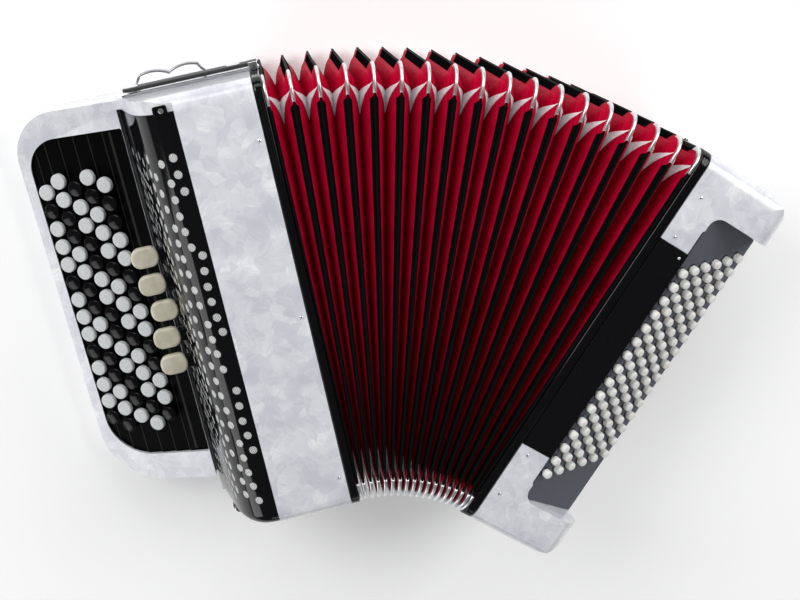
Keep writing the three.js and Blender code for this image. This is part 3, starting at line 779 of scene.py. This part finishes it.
def crest_path():
    """(up, front, toward_front, s) round the crest, in order."""
    found = []
    for up, front, toward_front, forwards in half_quarters():
        straight = (CREST_HALF if toward_front else CREST_DEEP) - CREST_RADIUS
        marks = [HALF_ARC * i / CREST_STEPS for i in range(CREST_STEPS + 1)] + [HALF_ARC + straight / 2]
        found += [(up, front, toward_front, s) for s in (marks if forwards else marks[:0:-1])]
    return found


BEAD = ((-1.2, 4), (-1.2, 1.2), (-0.95, 0.5), (-0.5, 0.12), (0, 0), (0.5, 0.12), (0.95, 0.5), (1.2, 1.2),
        (1.2, 4))
CAP = ((-1.6, 4), (-1.6, 1.2), (-1.4, 0.4), (-1.0, -0.2), (-0.4, -0.5), (0.4, -0.5), (1.0, -0.2), (1.4, 0.4),
       (1.6, 1.2), (1.6, 4))


def crest(number, body, shift=0.0, replaces=()):
    """Taped bead on one crest, with chrome caps on its corners."""
    place = fan(number)
    rings = [[(shift + u, *outline_frame(*point, inset)) for u, inset in BEAD] for point in crest_path()]
    Build(place).put(loft(rings, loop=True)).piece(
        f"crest_bead_{number:02d}", body, CREST, slot="bellows_red", replaces=replaces)
    caps = Build(place)
    for up, front in itertools.product((1, -1), (1, -1)):
        side_end = HALF_ARC + CAP_LEGS["side"]
        front_end = HALF_ARC + CAP_LEGS["top" if up > 0 else "bottom"]
        arc = [HALF_ARC * i / CAP_STEPS for i in range(CAP_STEPS + 1)]
        marks = [(False, s) for s in (side_end, side_end - CAP_END, *arc[:0:-1])]
        marks += [(True, s) for s in (*arc, front_end - CAP_END, front_end)]
        rings = []
        for i, mark in enumerate(marks):
            shrink = CAP_SHRINK if i in (0, len(marks) - 1) else 0.0
            rings.append([(shift + u * (1 - shrink / 3), *outline_frame(up, front, *mark, inset + shrink))
                          for u, inset in CAP])
        caps.put(loft(rings))
    caps.piece(f"corner_caps_{number:02d}", body, WIRE, slot="chrome")


for number in range(1, FOLDS + 1):
    pleat(number)
crest(0, "treble_side", CREST_ENDS[0])
for number in range(1, FOLDS):
    crest(number, f"fold_{number:02d}", replaces=[f"fold_{number:02d}"])
crest(FOLDS, "bass_side", CREST_ENDS[1])


# ---- bellows frames ----
FRAME_RADIUS = 14
FRAME_EDGE = ((0, 22), (0, 1.2), (0.35, 0.35), (1.0, 0), (2.9, 0), (3.1, 0.5), (3.7, 0.5), (3.9, 0), (5.4, 0),
              (5.6, 0.5), (6.1, 0.5), (6.3, 0), (7.1, 0), (7.6, 0.35), (8, 1.2), (8, 22))


def bellows_frame(name, body, place, low, high):
    """Lacquered frame whose outer edge carries two fine grooves."""
    rings = []
    for u, inset in FRAME_EDGE:
        outline = rounded(-HALF + inset, HALF - inset, inset, DEPTH - inset, max(FRAME_RADIUS - inset, 1), 8)
        rings.append([(low + u * (high - low) / FRAME_THICK, v, z) for v, z in outline])
    Build(place).put(loft(rings, loop=True)).piece(
        f"{name}_trim", body, GLOSS, slot="black_gloss", replaces=[name], angle=40)


bellows_frame("treble_bellows_frame", "treble_side", DESIGN, 0.3, FRAME_THICK)
bellows_frame("bass_bellows_frame", "bass_side", BASS, -1, FRAME_THICK)


# ---- treble grille ----
def bezier(t):
    """The grille's section from the strip over the crest to the wall's shoulder, in (x, z)."""
    a, b, c, d = Vector((GRILLE_EDGE, GRILLE_FRONT)), *CREST_CONTROLS, WALL_SHOULDER
    return a * (1 - t) ** 3 + b * 3 * t * (1 - t) ** 2 + c * 3 * t * t * (1 - t) + d * t ** 3


CURVE_STEPS = 40
COVER_STEPS = 24
SECTION = [*(bezier(i / CURVE_STEPS) for i in range(CURVE_STEPS + 1)), WALL_FOOT]
ARC = [0.0]
for a, b in zip(SECTION, SECTION[1:]):
    ARC.append(ARC[-1] + (b - a).length)


def section_at(s):
    """Point and inward normal of the grille's section at arc length s, in (x, z)."""
    i = min(max(int(np.searchsorted(ARC, s)) - 1, 0), len(SECTION) - 2)
    share = (s - ARC[i]) / (ARC[i + 1] - ARC[i])
    point = SECTION[i].lerp(SECTION[i + 1], share)
    before = SECTION[max(i - 1, 0) if i < CURVE_STEPS else i]
    after = SECTION[min(i + 2, CURVE_STEPS) if i < CURVE_STEPS else i + 1]
    along = (after - before).normalized()
    return point, Vector((-along.y, along.x))


def s_at_height(z):
    share = (WALL_SHOULDER.y - z) / (WALL_SHOULDER.y - WALL_FOOT.y)
    return ARC[-2] + share * (ARC[-1] - ARC[-2])


GRILLE_LOW = -HALF
ROLL = 12
ROLL_START = GRILLE_LOW + ROLL
WALL_END = s_at_height(68)


def grille_surface(s, y, depth):
    """Below y = ROLL_START the sheet rolls inward to close the lower end."""
    point, normal = section_at(s)
    if y >= ROLL_START:
        place = point + normal * depth
        return place.x, y, place.y
    angle = min((ROLL_START - y) / ROLL, pi / 2)
    inner = ROLL - depth
    place = point + normal * (ROLL - inner * cos(angle))
    return place.x, ROLL_START - inner * sin(angle), place.y


SWITCH_ROOM = 1.2
SWITCH_HOLES = [Hole(s_at_height(SWITCH["z"]), SWITCH["first"] - i * SWITCH["pitch"],
                     SWITCH["thick"] / 2 + SWITCH_ROOM, SWITCH["width"] / 2 + SWITCH_ROOM, 8, 32)
                for i in range(SWITCH["count"])]
FRONT_COLUMNS = 4
FRONT_HOLE = {"half_s": 3.75, "half_y": 3.75, "step": 14.2, "sway": 2.6, "column": 8.9}
WALL_HOLE = {"half_s": 3.1, "half_y": 4.4, "step": 12.2, "sway": 1.0, "column": 7.9}
FIRST_COLUMN, TOP_HOLE, LOW_HOLE = 7.5, 150, GRILLE_LOW + 24
COLUMN_DROPS = (0, 14, 4, 8)
HOLE_GAP = 0.8


def grille_holes():
    """Staggered, gently waving columns of round holes from the strip, over the crest and down the wall."""
    draw = random.Random(5)
    holes = list(SWITCH_HOLES)
    s, n = FIRST_COLUMN, 0
    while s < WALL_END - 4:
        kind = FRONT_HOLE if n < FRONT_COLUMNS else WALL_HOLE
        half_s, half_y = kind["half_s"], kind["half_y"]
        y = TOP_HOLE - (n % 2) * kind["step"] / 2 - COLUMN_DROPS[n % 4]
        while y > LOW_HOLE:
            centre = s + kind["sway"] * sin(y / 19 + n * 1.9) + draw.uniform(-0.4, 0.4)
            clear = all(abs(centre - other.x) > other.half_x + half_s + HOLE_GAP
                        or abs(y - other.y) > other.half_y + half_y + HOLE_GAP for other in holes)
            if clear and 3 + half_s < centre < WALL_END - half_s - 2:
                holes.append(Hole(centre, y, half_s, half_y))
            y -= kind["step"] + draw.uniform(-0.7, 0.7)
        s += kind["column"]
        n += 1
    return holes


def grille_sheet(name, holes, depth, thick, chamfer, margin, top, material, slot, replaces):
    """A sheet that follows the grille `depth` below its face; the outermost one also closes the lower end."""
    low = ROLL_START - ROLL * pi / 2 + margin
    outline = [(margin, low), (WALL_END - margin, low), (WALL_END - margin, top), (margin, top)]
    bends = [((ARC[i], low), (ARC[i], top)) for i in range(2, CURVE_STEPS + 1, 2) if ARC[i] > margin]
    rolls = [ROLL_START - ROLL * pi / 2 * i / 6 for i in range(6)]
    bends += [((margin, y), (WALL_END - margin, y)) for y in rolls if y > low]
    flat, faces = triangulate(outline, holes, bends)
    build = Build(DESIGN)
    build.put(pierced_shell(flat, faces, lambda s, y, d: grille_surface(s, y, d + depth), thick, holes,
                            chamfer))
    if not margin:
        sections = [section_at(WALL_END * i / COVER_STEPS) for i in range(COVER_STEPS + 1)]
        cover = [point + normal * (ROLL - 1) for point, normal in sections]
        cover.append(Vector((GRILLE_EDGE, cover[-1].y)))
        build.put(loft([[(x, y, z) for x, z in cover] for y in (GRILLE_LOW, GRILLE_LOW + GRILLE_THICK)]))
    build.piece(name, "treble_side", material, slot=slot, replaces=replaces, angle=32)


grille_sheet("treble_grille_shell", grille_holes(), 0, GRILLE_THICK, 0.1, 0, GRILLE_TOP,
             GLOSS, "black_gloss", ["treble_grille"])
grille_sheet("grille_gauze", SWITCH_HOLES, GAUZE_DEPTH, GAUZE_THICK, 0.1, 2, GRILLE_TOP - 6,
             GAUZE, "grille_mesh", ["grille_cloth"])


# ---- fingerboard ----
ROW_COUNTS = (14, 15, 14, 15, 14)
ROW_COLORS = ("WBWWWBWWWBWWWB", "WWBBWWBBWWBBWWB", "BWWBBWWBBWWBBW", "WBWWWBWWWBWWWBW",
              "WBBWWBBWWBBWWB")
STEM_HOLE = 3.6
BOARD_THICK = 3.0
TERRACE_DROP, RISER_HALF = 1.1, 0.25


def button_places(row):
    first = FIRST_BUTTON + (row % 2) * BUTTON_PITCH / 2
    return [(row * ROW_SPACING, first - i * BUTTON_PITCH) for i in range(ROW_COUNTS[row])]


def fingerboard():
    """Terraced board: each row has its own step, and each button its own hole."""
    shrink = 1 / cos(BOARD_ANGLE)
    left = (BOARD["left"] - ROW_ONE_X) * shrink
    right = (BOARD["right"] - ROW_ONE_X) * shrink - 1
    outline = rounded(left, right, BOARD["bottom"], BOARD["top"],
                      (BOARD["radius_bottom"], 2, 2, BOARD["radius_top"]), 10)
    rows = range(TREBLE_ROWS)
    edges = [(row + 0.5) * ROW_SPACING for row in rows]
    starts = [edges[0] - ROW_SPACING, *edges]
    holes = [Hole(x, y, STEM_HOLE, STEM_HOLE) for row in rows for x, y in button_places(row)]
    lines = [((x + d, BOARD["bottom"] - 1), (x + d, BOARD["top"] + 1)) for x in edges
             for d in (-RISER_HALF, RISER_HALF)]

    def surface(x, y, depth):
        level = 0.0
        for low, high in zip(starts, [*edges, right + 2]):
            if low + RISER_HALF <= x <= high + RISER_HALF:
                share = (x - low - RISER_HALF) / (high - low - 2 * RISER_HALF)
                rise = max(0.0, x - high + RISER_HALF) / (2 * RISER_HALF)
                level = -TERRACE_DROP * (share if share < 1 else 1 - rise)
        return x, y, max(level, -TERRACE_DROP) - depth

    flat, faces = triangulate(outline, holes, lines)
    keep = (flat[:, 1] <= BOARD["top"] + 0.01) & (flat[:, 1] >= BOARD["bottom"] - 0.01)
    faces = faces[keep[faces].all(axis=1)]
    build = Build(TREBLE_BOARD)
    build.put(pierced_shell(flat, faces, surface, BOARD_THICK, holes, 0.3))
    # Thin raised ribs along the row edges and a wider band by the grille, in grey: painted highlight where
    # the steps catch the light.
    ribs = [(x, 1.2, rounded(x - 0.45, x + 0.45, -1.6, 0.25, 0.3, 3)) for x in (starts[0] + 4, *edges)]
    band = edges[-1] + 3
    ribs.append((band, 2, rounded(band, band + 5.5, -2.2, -0.3, 0.4, 3)))
    for x, inset, section in ribs:
        ends = (board_limit(x - left, "bottom") + inset, board_limit(x - left, "top") - inset)
        build.put(loft([[(a, y, b) for a, b in section] for y in ends]), 1)
    build.piece("fingerboard_terraces", "treble_side", BOARD_PAINT, STEP_HIGHLIGHT_GREY, slot="black_gloss",
                replaces=["fingerboard_plate"], angle=25)


def board_limit(along, end):
    """Y of the board's top or bottom edge at a distance along it from its left side."""
    radius = BOARD[f"radius_{end}"]
    drop = radius - sqrt(radius ** 2 - max(radius - along, 0) ** 2)
    return BOARD["top"] - drop if end == "top" else BOARD["bottom"] + drop


def button_cap(radius, low, high, dome, edge):
    """Profile of a cap with a rounded top edge."""
    arc = [(radius - edge + edge * cos(a), high - dome - edge + edge * sin(a))
           for a in (pi / 2 * i / 4 for i in range(5))]
    top = [(radius * share, high - dome * share ** 2) for share in (0.62, 0.3, 0.04)]
    return [(radius - 0.5, low), (radius, low + 0.4), *arc, *top]


def buttons(board, spots, cap, cap_sides, stem, stem_sides):
    """Caps on their stems at each (x, y) of a board."""
    build = Build(board)
    for x, y in spots:
        build.put(lathe(cap, cap_sides), turn=move(x, y, 0))
        build.put(lathe(stem, stem_sides), turn=move(x, y, 0))
    return build


def treble_buttons():
    """Flat white and domed black caps, each colour of a row in one piece."""
    stem = [(2.1, -6), (2.1, 2.6), (3.0, 3.4), (3.0, 4.3)]
    for row in range(TREBLE_ROWS):
        body = f"treble_row_{row + 1}"
        for color, dome, material, slot, replaces in (
                ("white", 0.2, WHITE_CAP, "button_white", [f"treble_button_row_{row + 1}"]),
                ("black", 0.9, BLACK_CAP, "black_gloss", [])):
            cap = button_cap(CAP_RADIUS, 3.9, 8.6, dome, 1.1)
            letter = color[0].upper()
            spots = [spot for spot, mark in zip(button_places(row), ROW_COLORS[row]) if mark == letter]
            buttons(TREBLE_BOARD, spots, cap, 28, stem, 12).piece(
                f"{body}_{color}", body, material, slot=slot, replaces=replaces)


SWITCH_EDGE = ((2.4, 0), (1.3, 0.35), (0.6, 1.0), (0.15, 2.0), (0, 3.2), (0, 6.4), (0.25, 7.6), (0.8, 8.4),
               (1.7, 8.85), (3.0, 9))


def register_switches():
    """Ivory rockers, rounded all round, on black stems that come through the wall; the stems' black is
    painted shade of the wall's slots.
    """
    half, bottom = SWITCH["width"] / 2, SWITCH["z"] - SWITCH["thick"] / 2
    for i in range(SWITCH["count"]):
        outer = SWITCH["outer"] + (SWITCH["travel"] if i + 1 == SWITCH["pressed"] else 0)
        inner = outer + SWITCH["length"]
        y = SWITCH["first"] - i * SWITCH["pitch"]
        build = Build(DESIGN)
        build.put(plate(lambda r: rounded(outer + r, inner - r, y - half + r, y + half - r, 8.2 - r, 7),
                        SWITCH_EDGE), turn=move(0, 0, bottom))
        # Black stem: painted shade of the wall's slot, so that only the rocker shows ivory.
        stem = rounded(y - 6, y + 6, SWITCH["z"] - 3, SWITCH["z"] + 3, 1.2, 4)
        build.put(loft([[(x, a, b) for a, b in stem] for x in (inner - 5, inner + 19)]), 1)
        build.piece(f"register_key_{i + 1}", f"register_{i + 1}", IVORY, BLACK_CAP, slot="ivory",
                    replaces=[f"register_switch_{i + 1}"], angle=50)


fingerboard()
treble_buttons()
register_switches()


# ---- bass side ----
def bass_places(row):
    along, first = BASS_FIRST
    return [(along + row * BASS_ROW_SPACING, first + row * BASS_PITCH / 2 - i * BASS_PITCH)
            for i in range(BASS_PER_ROW)]


def bass_board():
    holes = [Hole(x, v, BASS_HOLE, BASS_HOLE, 2, 18) for row in range(BASS_ROWS) for x, v in bass_places(row)]
    half, radius = BASS_BOARD["half"], BASS_BOARD["radius"]
    outline = rounded(BASS_BOARD["start"], BASS_BOARD["length"], -half, half, (radius, 1, 1, radius), 8)
    flat, faces = triangulate(outline, holes)
    shell = pierced_shell(flat, faces, lambda x, y, depth: (x, y, -depth), 3, holes, 0.35)
    Build(BASS_TILT).put(shell).piece(
        "bass_board_panel", "bass_side", SLATE, slot="board_grey", replaces=["bass_button_board"])


def bass_buttons():
    cap = button_cap(4.25, 0.6, 7.4, 0.5, 1.7)
    stem = [(1.7, -6), (1.7, 0.2), (2.4, 0.4), (2.4, 1.0)]
    for row in range(BASS_ROWS):
        buttons(BASS_TILT, bass_places(row), cap, 20, stem, 10).piece(
            f"bass_row_{row + 1}_buttons", f"bass_row_{row + 1}", BASS_CAP, slot="ivory",
            replaces=[f"bass_button_row_{row + 1}"])


bass_board()
bass_buttons()


# ---- fittings ----
PIN = ((1, -0.4), (1, 0.25), (0.92, 0.6), (0.6, 0.95), (0.3, 1.02), (0.24, 0.6))
TREBLE_PINS = ((-4.5, 149, 1.6), (-5, -9, 1.6), (-6, -166, 1.6))
BASS_PINS = ((19, 163, 1.6), (19, 122, 1.6), (19, -118, 1.6), (17, -163, 1.6), (34, 108, 1.5))


def pins(name, body, place, spots):
    """Domed bellows pins with a dimple; spots are (x, y, radius)."""
    build = Build(place)
    for x, y, radius in spots:
        build.put(lathe([(radius * share, height) for share, height in PIN], 16), turn=move(x, y, DEPTH))
    build.piece(name, body, CHROME, slot="chrome")


BRACKET = {"left": -102, "right": -39, "low": 54, "high": 66, "half": 1.2, "height": 8.8, "arch": 4.3,
           "steps": 72}


def shoulder_bracket(name, side):
    """Wavy chrome strip with two arches for the shoulder strap."""
    half, left, right, steps = (BRACKET[key] for key in ("half", "left", "right", "steps"))
    foot = HALF + 0.3 + half
    path = [Vector((left - 6, foot)), Vector((left - 2.5, foot))]
    for i in range(3, steps - 2):
        t = i / steps
        hump = BRACKET["height"] + BRACKET["arch"] * abs(sin(2 * pi * t)) ** 0.8
        edge = min(1, min(t, 1 - t) * 12) ** 0.7
        path.append(Vector((left + t * (right - left), foot + (hump - half) * edge)))
    path += [Vector((right + 2.5, foot)), Vector((right + 6, foot))]
    section = rounded(-half, half, BRACKET["low"], BRACKET["high"], half, 4)
    rings = [[(point.x + normal.x * n, side * (point.y + normal.y * n), z) for n, z in section]
             for point, _, normal in walk(path)]
    Build(DESIGN).put(loft(rings)).piece(
        f"{name}_strip", "treble_side", DARK_CHROME, slot="chrome", replaces=[name], angle=40)


STRAP_SNAP = ((6.2, -0.6), (6.2, 0.3), (5.7, 0.8), (4.6, 1.0), (4.2, 0.75), (3.0, 1.4), (0.4, 1.7))
STITCH_STEP, STITCH_LENGTH, STITCH_INSET = 3.4, 2.3, 2.4
HAND_STITCH_LENGTH, HAND_STITCH_INSET = 2.8, 3


def stitch_ends(length):
    """(distance along, drop) of the rings of one stitch, whose ends go down into the leather."""
    return (0, 0.3), (0.4, 0), (length - 0.4, 0), (length, 0.3)


def strap_piece(end, side):
    """Leather bellows strap with a tapered tip, stitched edges and two snaps."""
    x0, x1 = STRAP_PIVOT - STRAP_REACH - 8, STRAP_PIVOT + 2.2
    half, top = STRAP_WIDTH / 2, STRAP_LOW + STRAP_THICK
    build = Build(DESIGN)

    def outline(inset):
        return rounded(x0 + inset, x1 - inset, STRAP_Z - half + inset, STRAP_Z + half - inset,
                       (9 - inset, 2, 2, 9 - inset), 6)

    points, faces = plate(outline, soft_edges(STRAP_LOW, top, 1.0))
    build.put(([(x, side * h, z) for x, z, h in points], faces))
    for x in (x0 + 8, STRAP_PIVOT - 17):
        turn = move(x, side * top, STRAP_Z) @ Matrix.Rotation(-side * pi / 2, 4, "X")
        build.put(lathe(STRAP_SNAP, 24), 2, turn)
    for edge in (-1, 1):
        z = STRAP_Z + edge * (half - STITCH_INSET)
        section = rounded(z - 0.35, z + 0.35, top - 0.35, top + 0.22, 0.25, 2)
        for i in range(int((x1 - x0 - 22) / STITCH_STEP)):
            x = x0 + 13 + i * STITCH_STEP
            build.put(loft([[(x + at, side * (h - drop), across) for across, h in section]
                            for at, drop in stitch_ends(STITCH_LENGTH)]), 1)
    build.piece(f"bellows_strap_{end}_leather", f"strap_{end}", LEATHER, THREAD, CHROME, slot="leather_black",
                replaces=[f"bellows_strap_{end}"])


HAND_STRAP = {"bulge": 28, "thick": 3.6, "crown": 1.1, "half": 168, "tab": 18, "low": 6, "high": 56,
              "steps": 40}


def hand_strap():
    """Stiff leather band with a slight crown, bowed out from the bass side and stitched along both edges."""
    thick, low, high, half = (HAND_STRAP[key] for key in ("thick", "low", "high", "half"))
    base, reach, steps = BASS_OUTER + 0.3, half - HAND_STRAP["tab"], HAND_STRAP["steps"]
    path = [Vector((base, -half))]
    for i in range(steps + 1):
        bow = HAND_STRAP["bulge"] * sin(pi * i / steps) ** 0.9
        path.append(Vector((base + bow, (2 * i / steps - 1) * reach)))
    path.append(Vector((base, half)))
    build = Build(BASS)
    section = []
    for n, z in rounded(0.1, thick, low, high, 1.4, 3):
        off_centre = (2 * z - low - high) / (high - low)
        section.append((n + HAND_STRAP["crown"] * (1 - off_centre ** 2) if n > thick / 2 else n, z))
    build.put(loft([[(*(point - normal * n), z) for n, z in section] for point, _, normal in walk(path)]))
    section = rounded(-0.3, 0.35, -0.4, 0.4, 0.25, 2)
    turns = list(walk(path))
    for edge in (low + HAND_STITCH_INSET, high - HAND_STITCH_INSET):
        for i, share in itertools.product(range(2, len(path) - 3), (0.1, 0.6)):
            start, (_, along, normal) = path[i].lerp(path[i + 1], share), turns[i]
            build.put(loft([[(*(start + along * at - normal * (thick + 0.28 - drop + n)), edge + z)
                             for n, z in section] for at, drop in stitch_ends(HAND_STITCH_LENGTH)]), 1)
    build.piece("hand_strap_leather", "bass_side", LEATHER, THREAD, slot="leather_black",
                replaces=["hand_strap"])


WHEEL = {"u": 62, "z": 34, "radius": 11, "teeth": 30, "tooth": 0.55, "low": HALF + 0.3, "high": HALF + 6}
AIR_BUTTON = {"v": 130, "z": 84}
AIR_PROFILE = ((6.2, 0), (6.2, 3), (7, 3.4), (7, 7.4), (6.6, 8.3), (5.6, 8.8), (2, 9), (0.2, 9.0))
LATCH = {"left": -84, "right": -72, "bottom": 186.5, "top": 194.5, "knob": (-77, 190.5)}
LATCH_KNOB = ((1.6, 0), (1.6, 2.4), (2.2, 2.8), (2.2, 4.0), (1.7, 4.5), (0.5, 4.6))


def strap_wheel():
    """Knurled wheel with a sunk face."""
    count, high = WHEEL["teeth"] * 4, WHEEL["high"]

    def outline(inset):
        points = []
        for i in range(count):
            reach = WHEEL["radius"] - inset - (WHEEL["tooth"] if i % 4 in (2, 3) else 0)
            angle = 2 * pi * i / count
            points.append((reach * cos(angle), reach * sin(angle)))
        return points

    sunk = [(2.2, high), (2.8, high - 0.6), (8.2, high - 0.6), (8.6, high - 0.2)]
    points, faces = plate(outline, [*soft_edges(WHEEL["low"], high, 0.8), *sunk])
    Build(BASS).put(([(WHEEL["u"] + x, h, WHEEL["z"] - y) for x, y, h in points], faces)).piece(
        "strap_wheel_knurled", "strap_adjuster", CHROME, slot="chrome", replaces=["hand_strap_wheel"])


def air_button():
    turn = move(BASS_OUTER + 0.3, AIR_BUTTON["v"], AIR_BUTTON["z"]) @ Matrix.Rotation(pi / 2, 4, "Y")
    Build(BASS).put(lathe(AIR_PROFILE, 28), turn=turn).piece(
        "air_button_cap", "air_valve", IVORY, slot="ivory", replaces=["air_button"])


def grille_latch():
    """Black sliding plate with a small chrome knob."""
    build = Build(DESIGN)
    left, right, bottom, top = (LATCH[key] for key in ("left", "right", "bottom", "top"))
    build.put(plate(lambda r: rounded(left + r, right - r, bottom + r, top - r, 2 - r, 5),
                    soft_edges(GRILLE_FRONT + 0.3, GRILLE_FRONT + 2, 0.6)))
    build.put(lathe(LATCH_KNOB, 20), 1, turn=move(*LATCH["knob"], GRILLE_FRONT))
    build.piece("grille_latch_slide", "treble_side", BLACK_CAP, CHROME, slot="chrome",
                replaces=["grille_latch"])


pins("treble_pins", "treble_side", DESIGN, TREBLE_PINS)
pins("bass_pins", "bass_side", BASS, BASS_PINS)
for end, side in (("top", 1), ("bottom", -1)):
    shoulder_bracket(f"shoulder_bracket_{end}", side)
    strap_piece(end, side)
hand_strap()
strap_wheel()
air_button()
grille_latch()


# ---- stage ----
def floor():
    bpy.ops.mesh.primitive_grid_add(size=12, x_subdivisions=4, y_subdivisions=4, location=(0, 0, -0.0005))
    made = bpy.context.object
    made.name = "floor"
    made.data.materials.append(floor_paint())


LIT_POINT = Vector((0, 0, 0.06))
# Name, place and size in metres, and power in watts.
SOFTBOXES = (
    ("left", (-1.3, 1.5, 1.6), (1.2, 1.4), 26),
    ("right", (1.8, 0.5, 1.5), (1.2, 1.6), 28),
    ("above", (0.2, 2.1, 1.2), (2.2, 0.8), 17),
    ("below", (0.3, -2.1, 1.0), (2.2, 0.7), 6),
    ("side", (-1.8, -0.75, 0.7), (1.2, 1.0), 10),
)


def softbox(name, place, size, power):
    """Rectangular light, turned to the instrument's middle."""
    data = bpy.data.lights.new(name, "AREA")
    data.shape = "RECTANGLE"
    data.size, data.size_y = size
    data.energy = power
    facing = (LIT_POINT - Vector(place)).to_track_quat("-Z", "Y").to_matrix().to_4x4()
    add_object(name, data).matrix_world = move(*place) @ facing


def studio():
    world = bpy.data.worlds.new("studio")
    bpy.context.scene.world = world
    world.use_nodes = True
    background = world.node_tree.nodes["Background"]
    background.inputs["Color"].default_value = (1, 1, 1, 1)
    background.inputs["Strength"].default_value = 0.13
    for light in SOFTBOXES:
        softbox(*light)
    bpy.context.scene.view_settings.view_transform = "Standard"


floor()
studio()
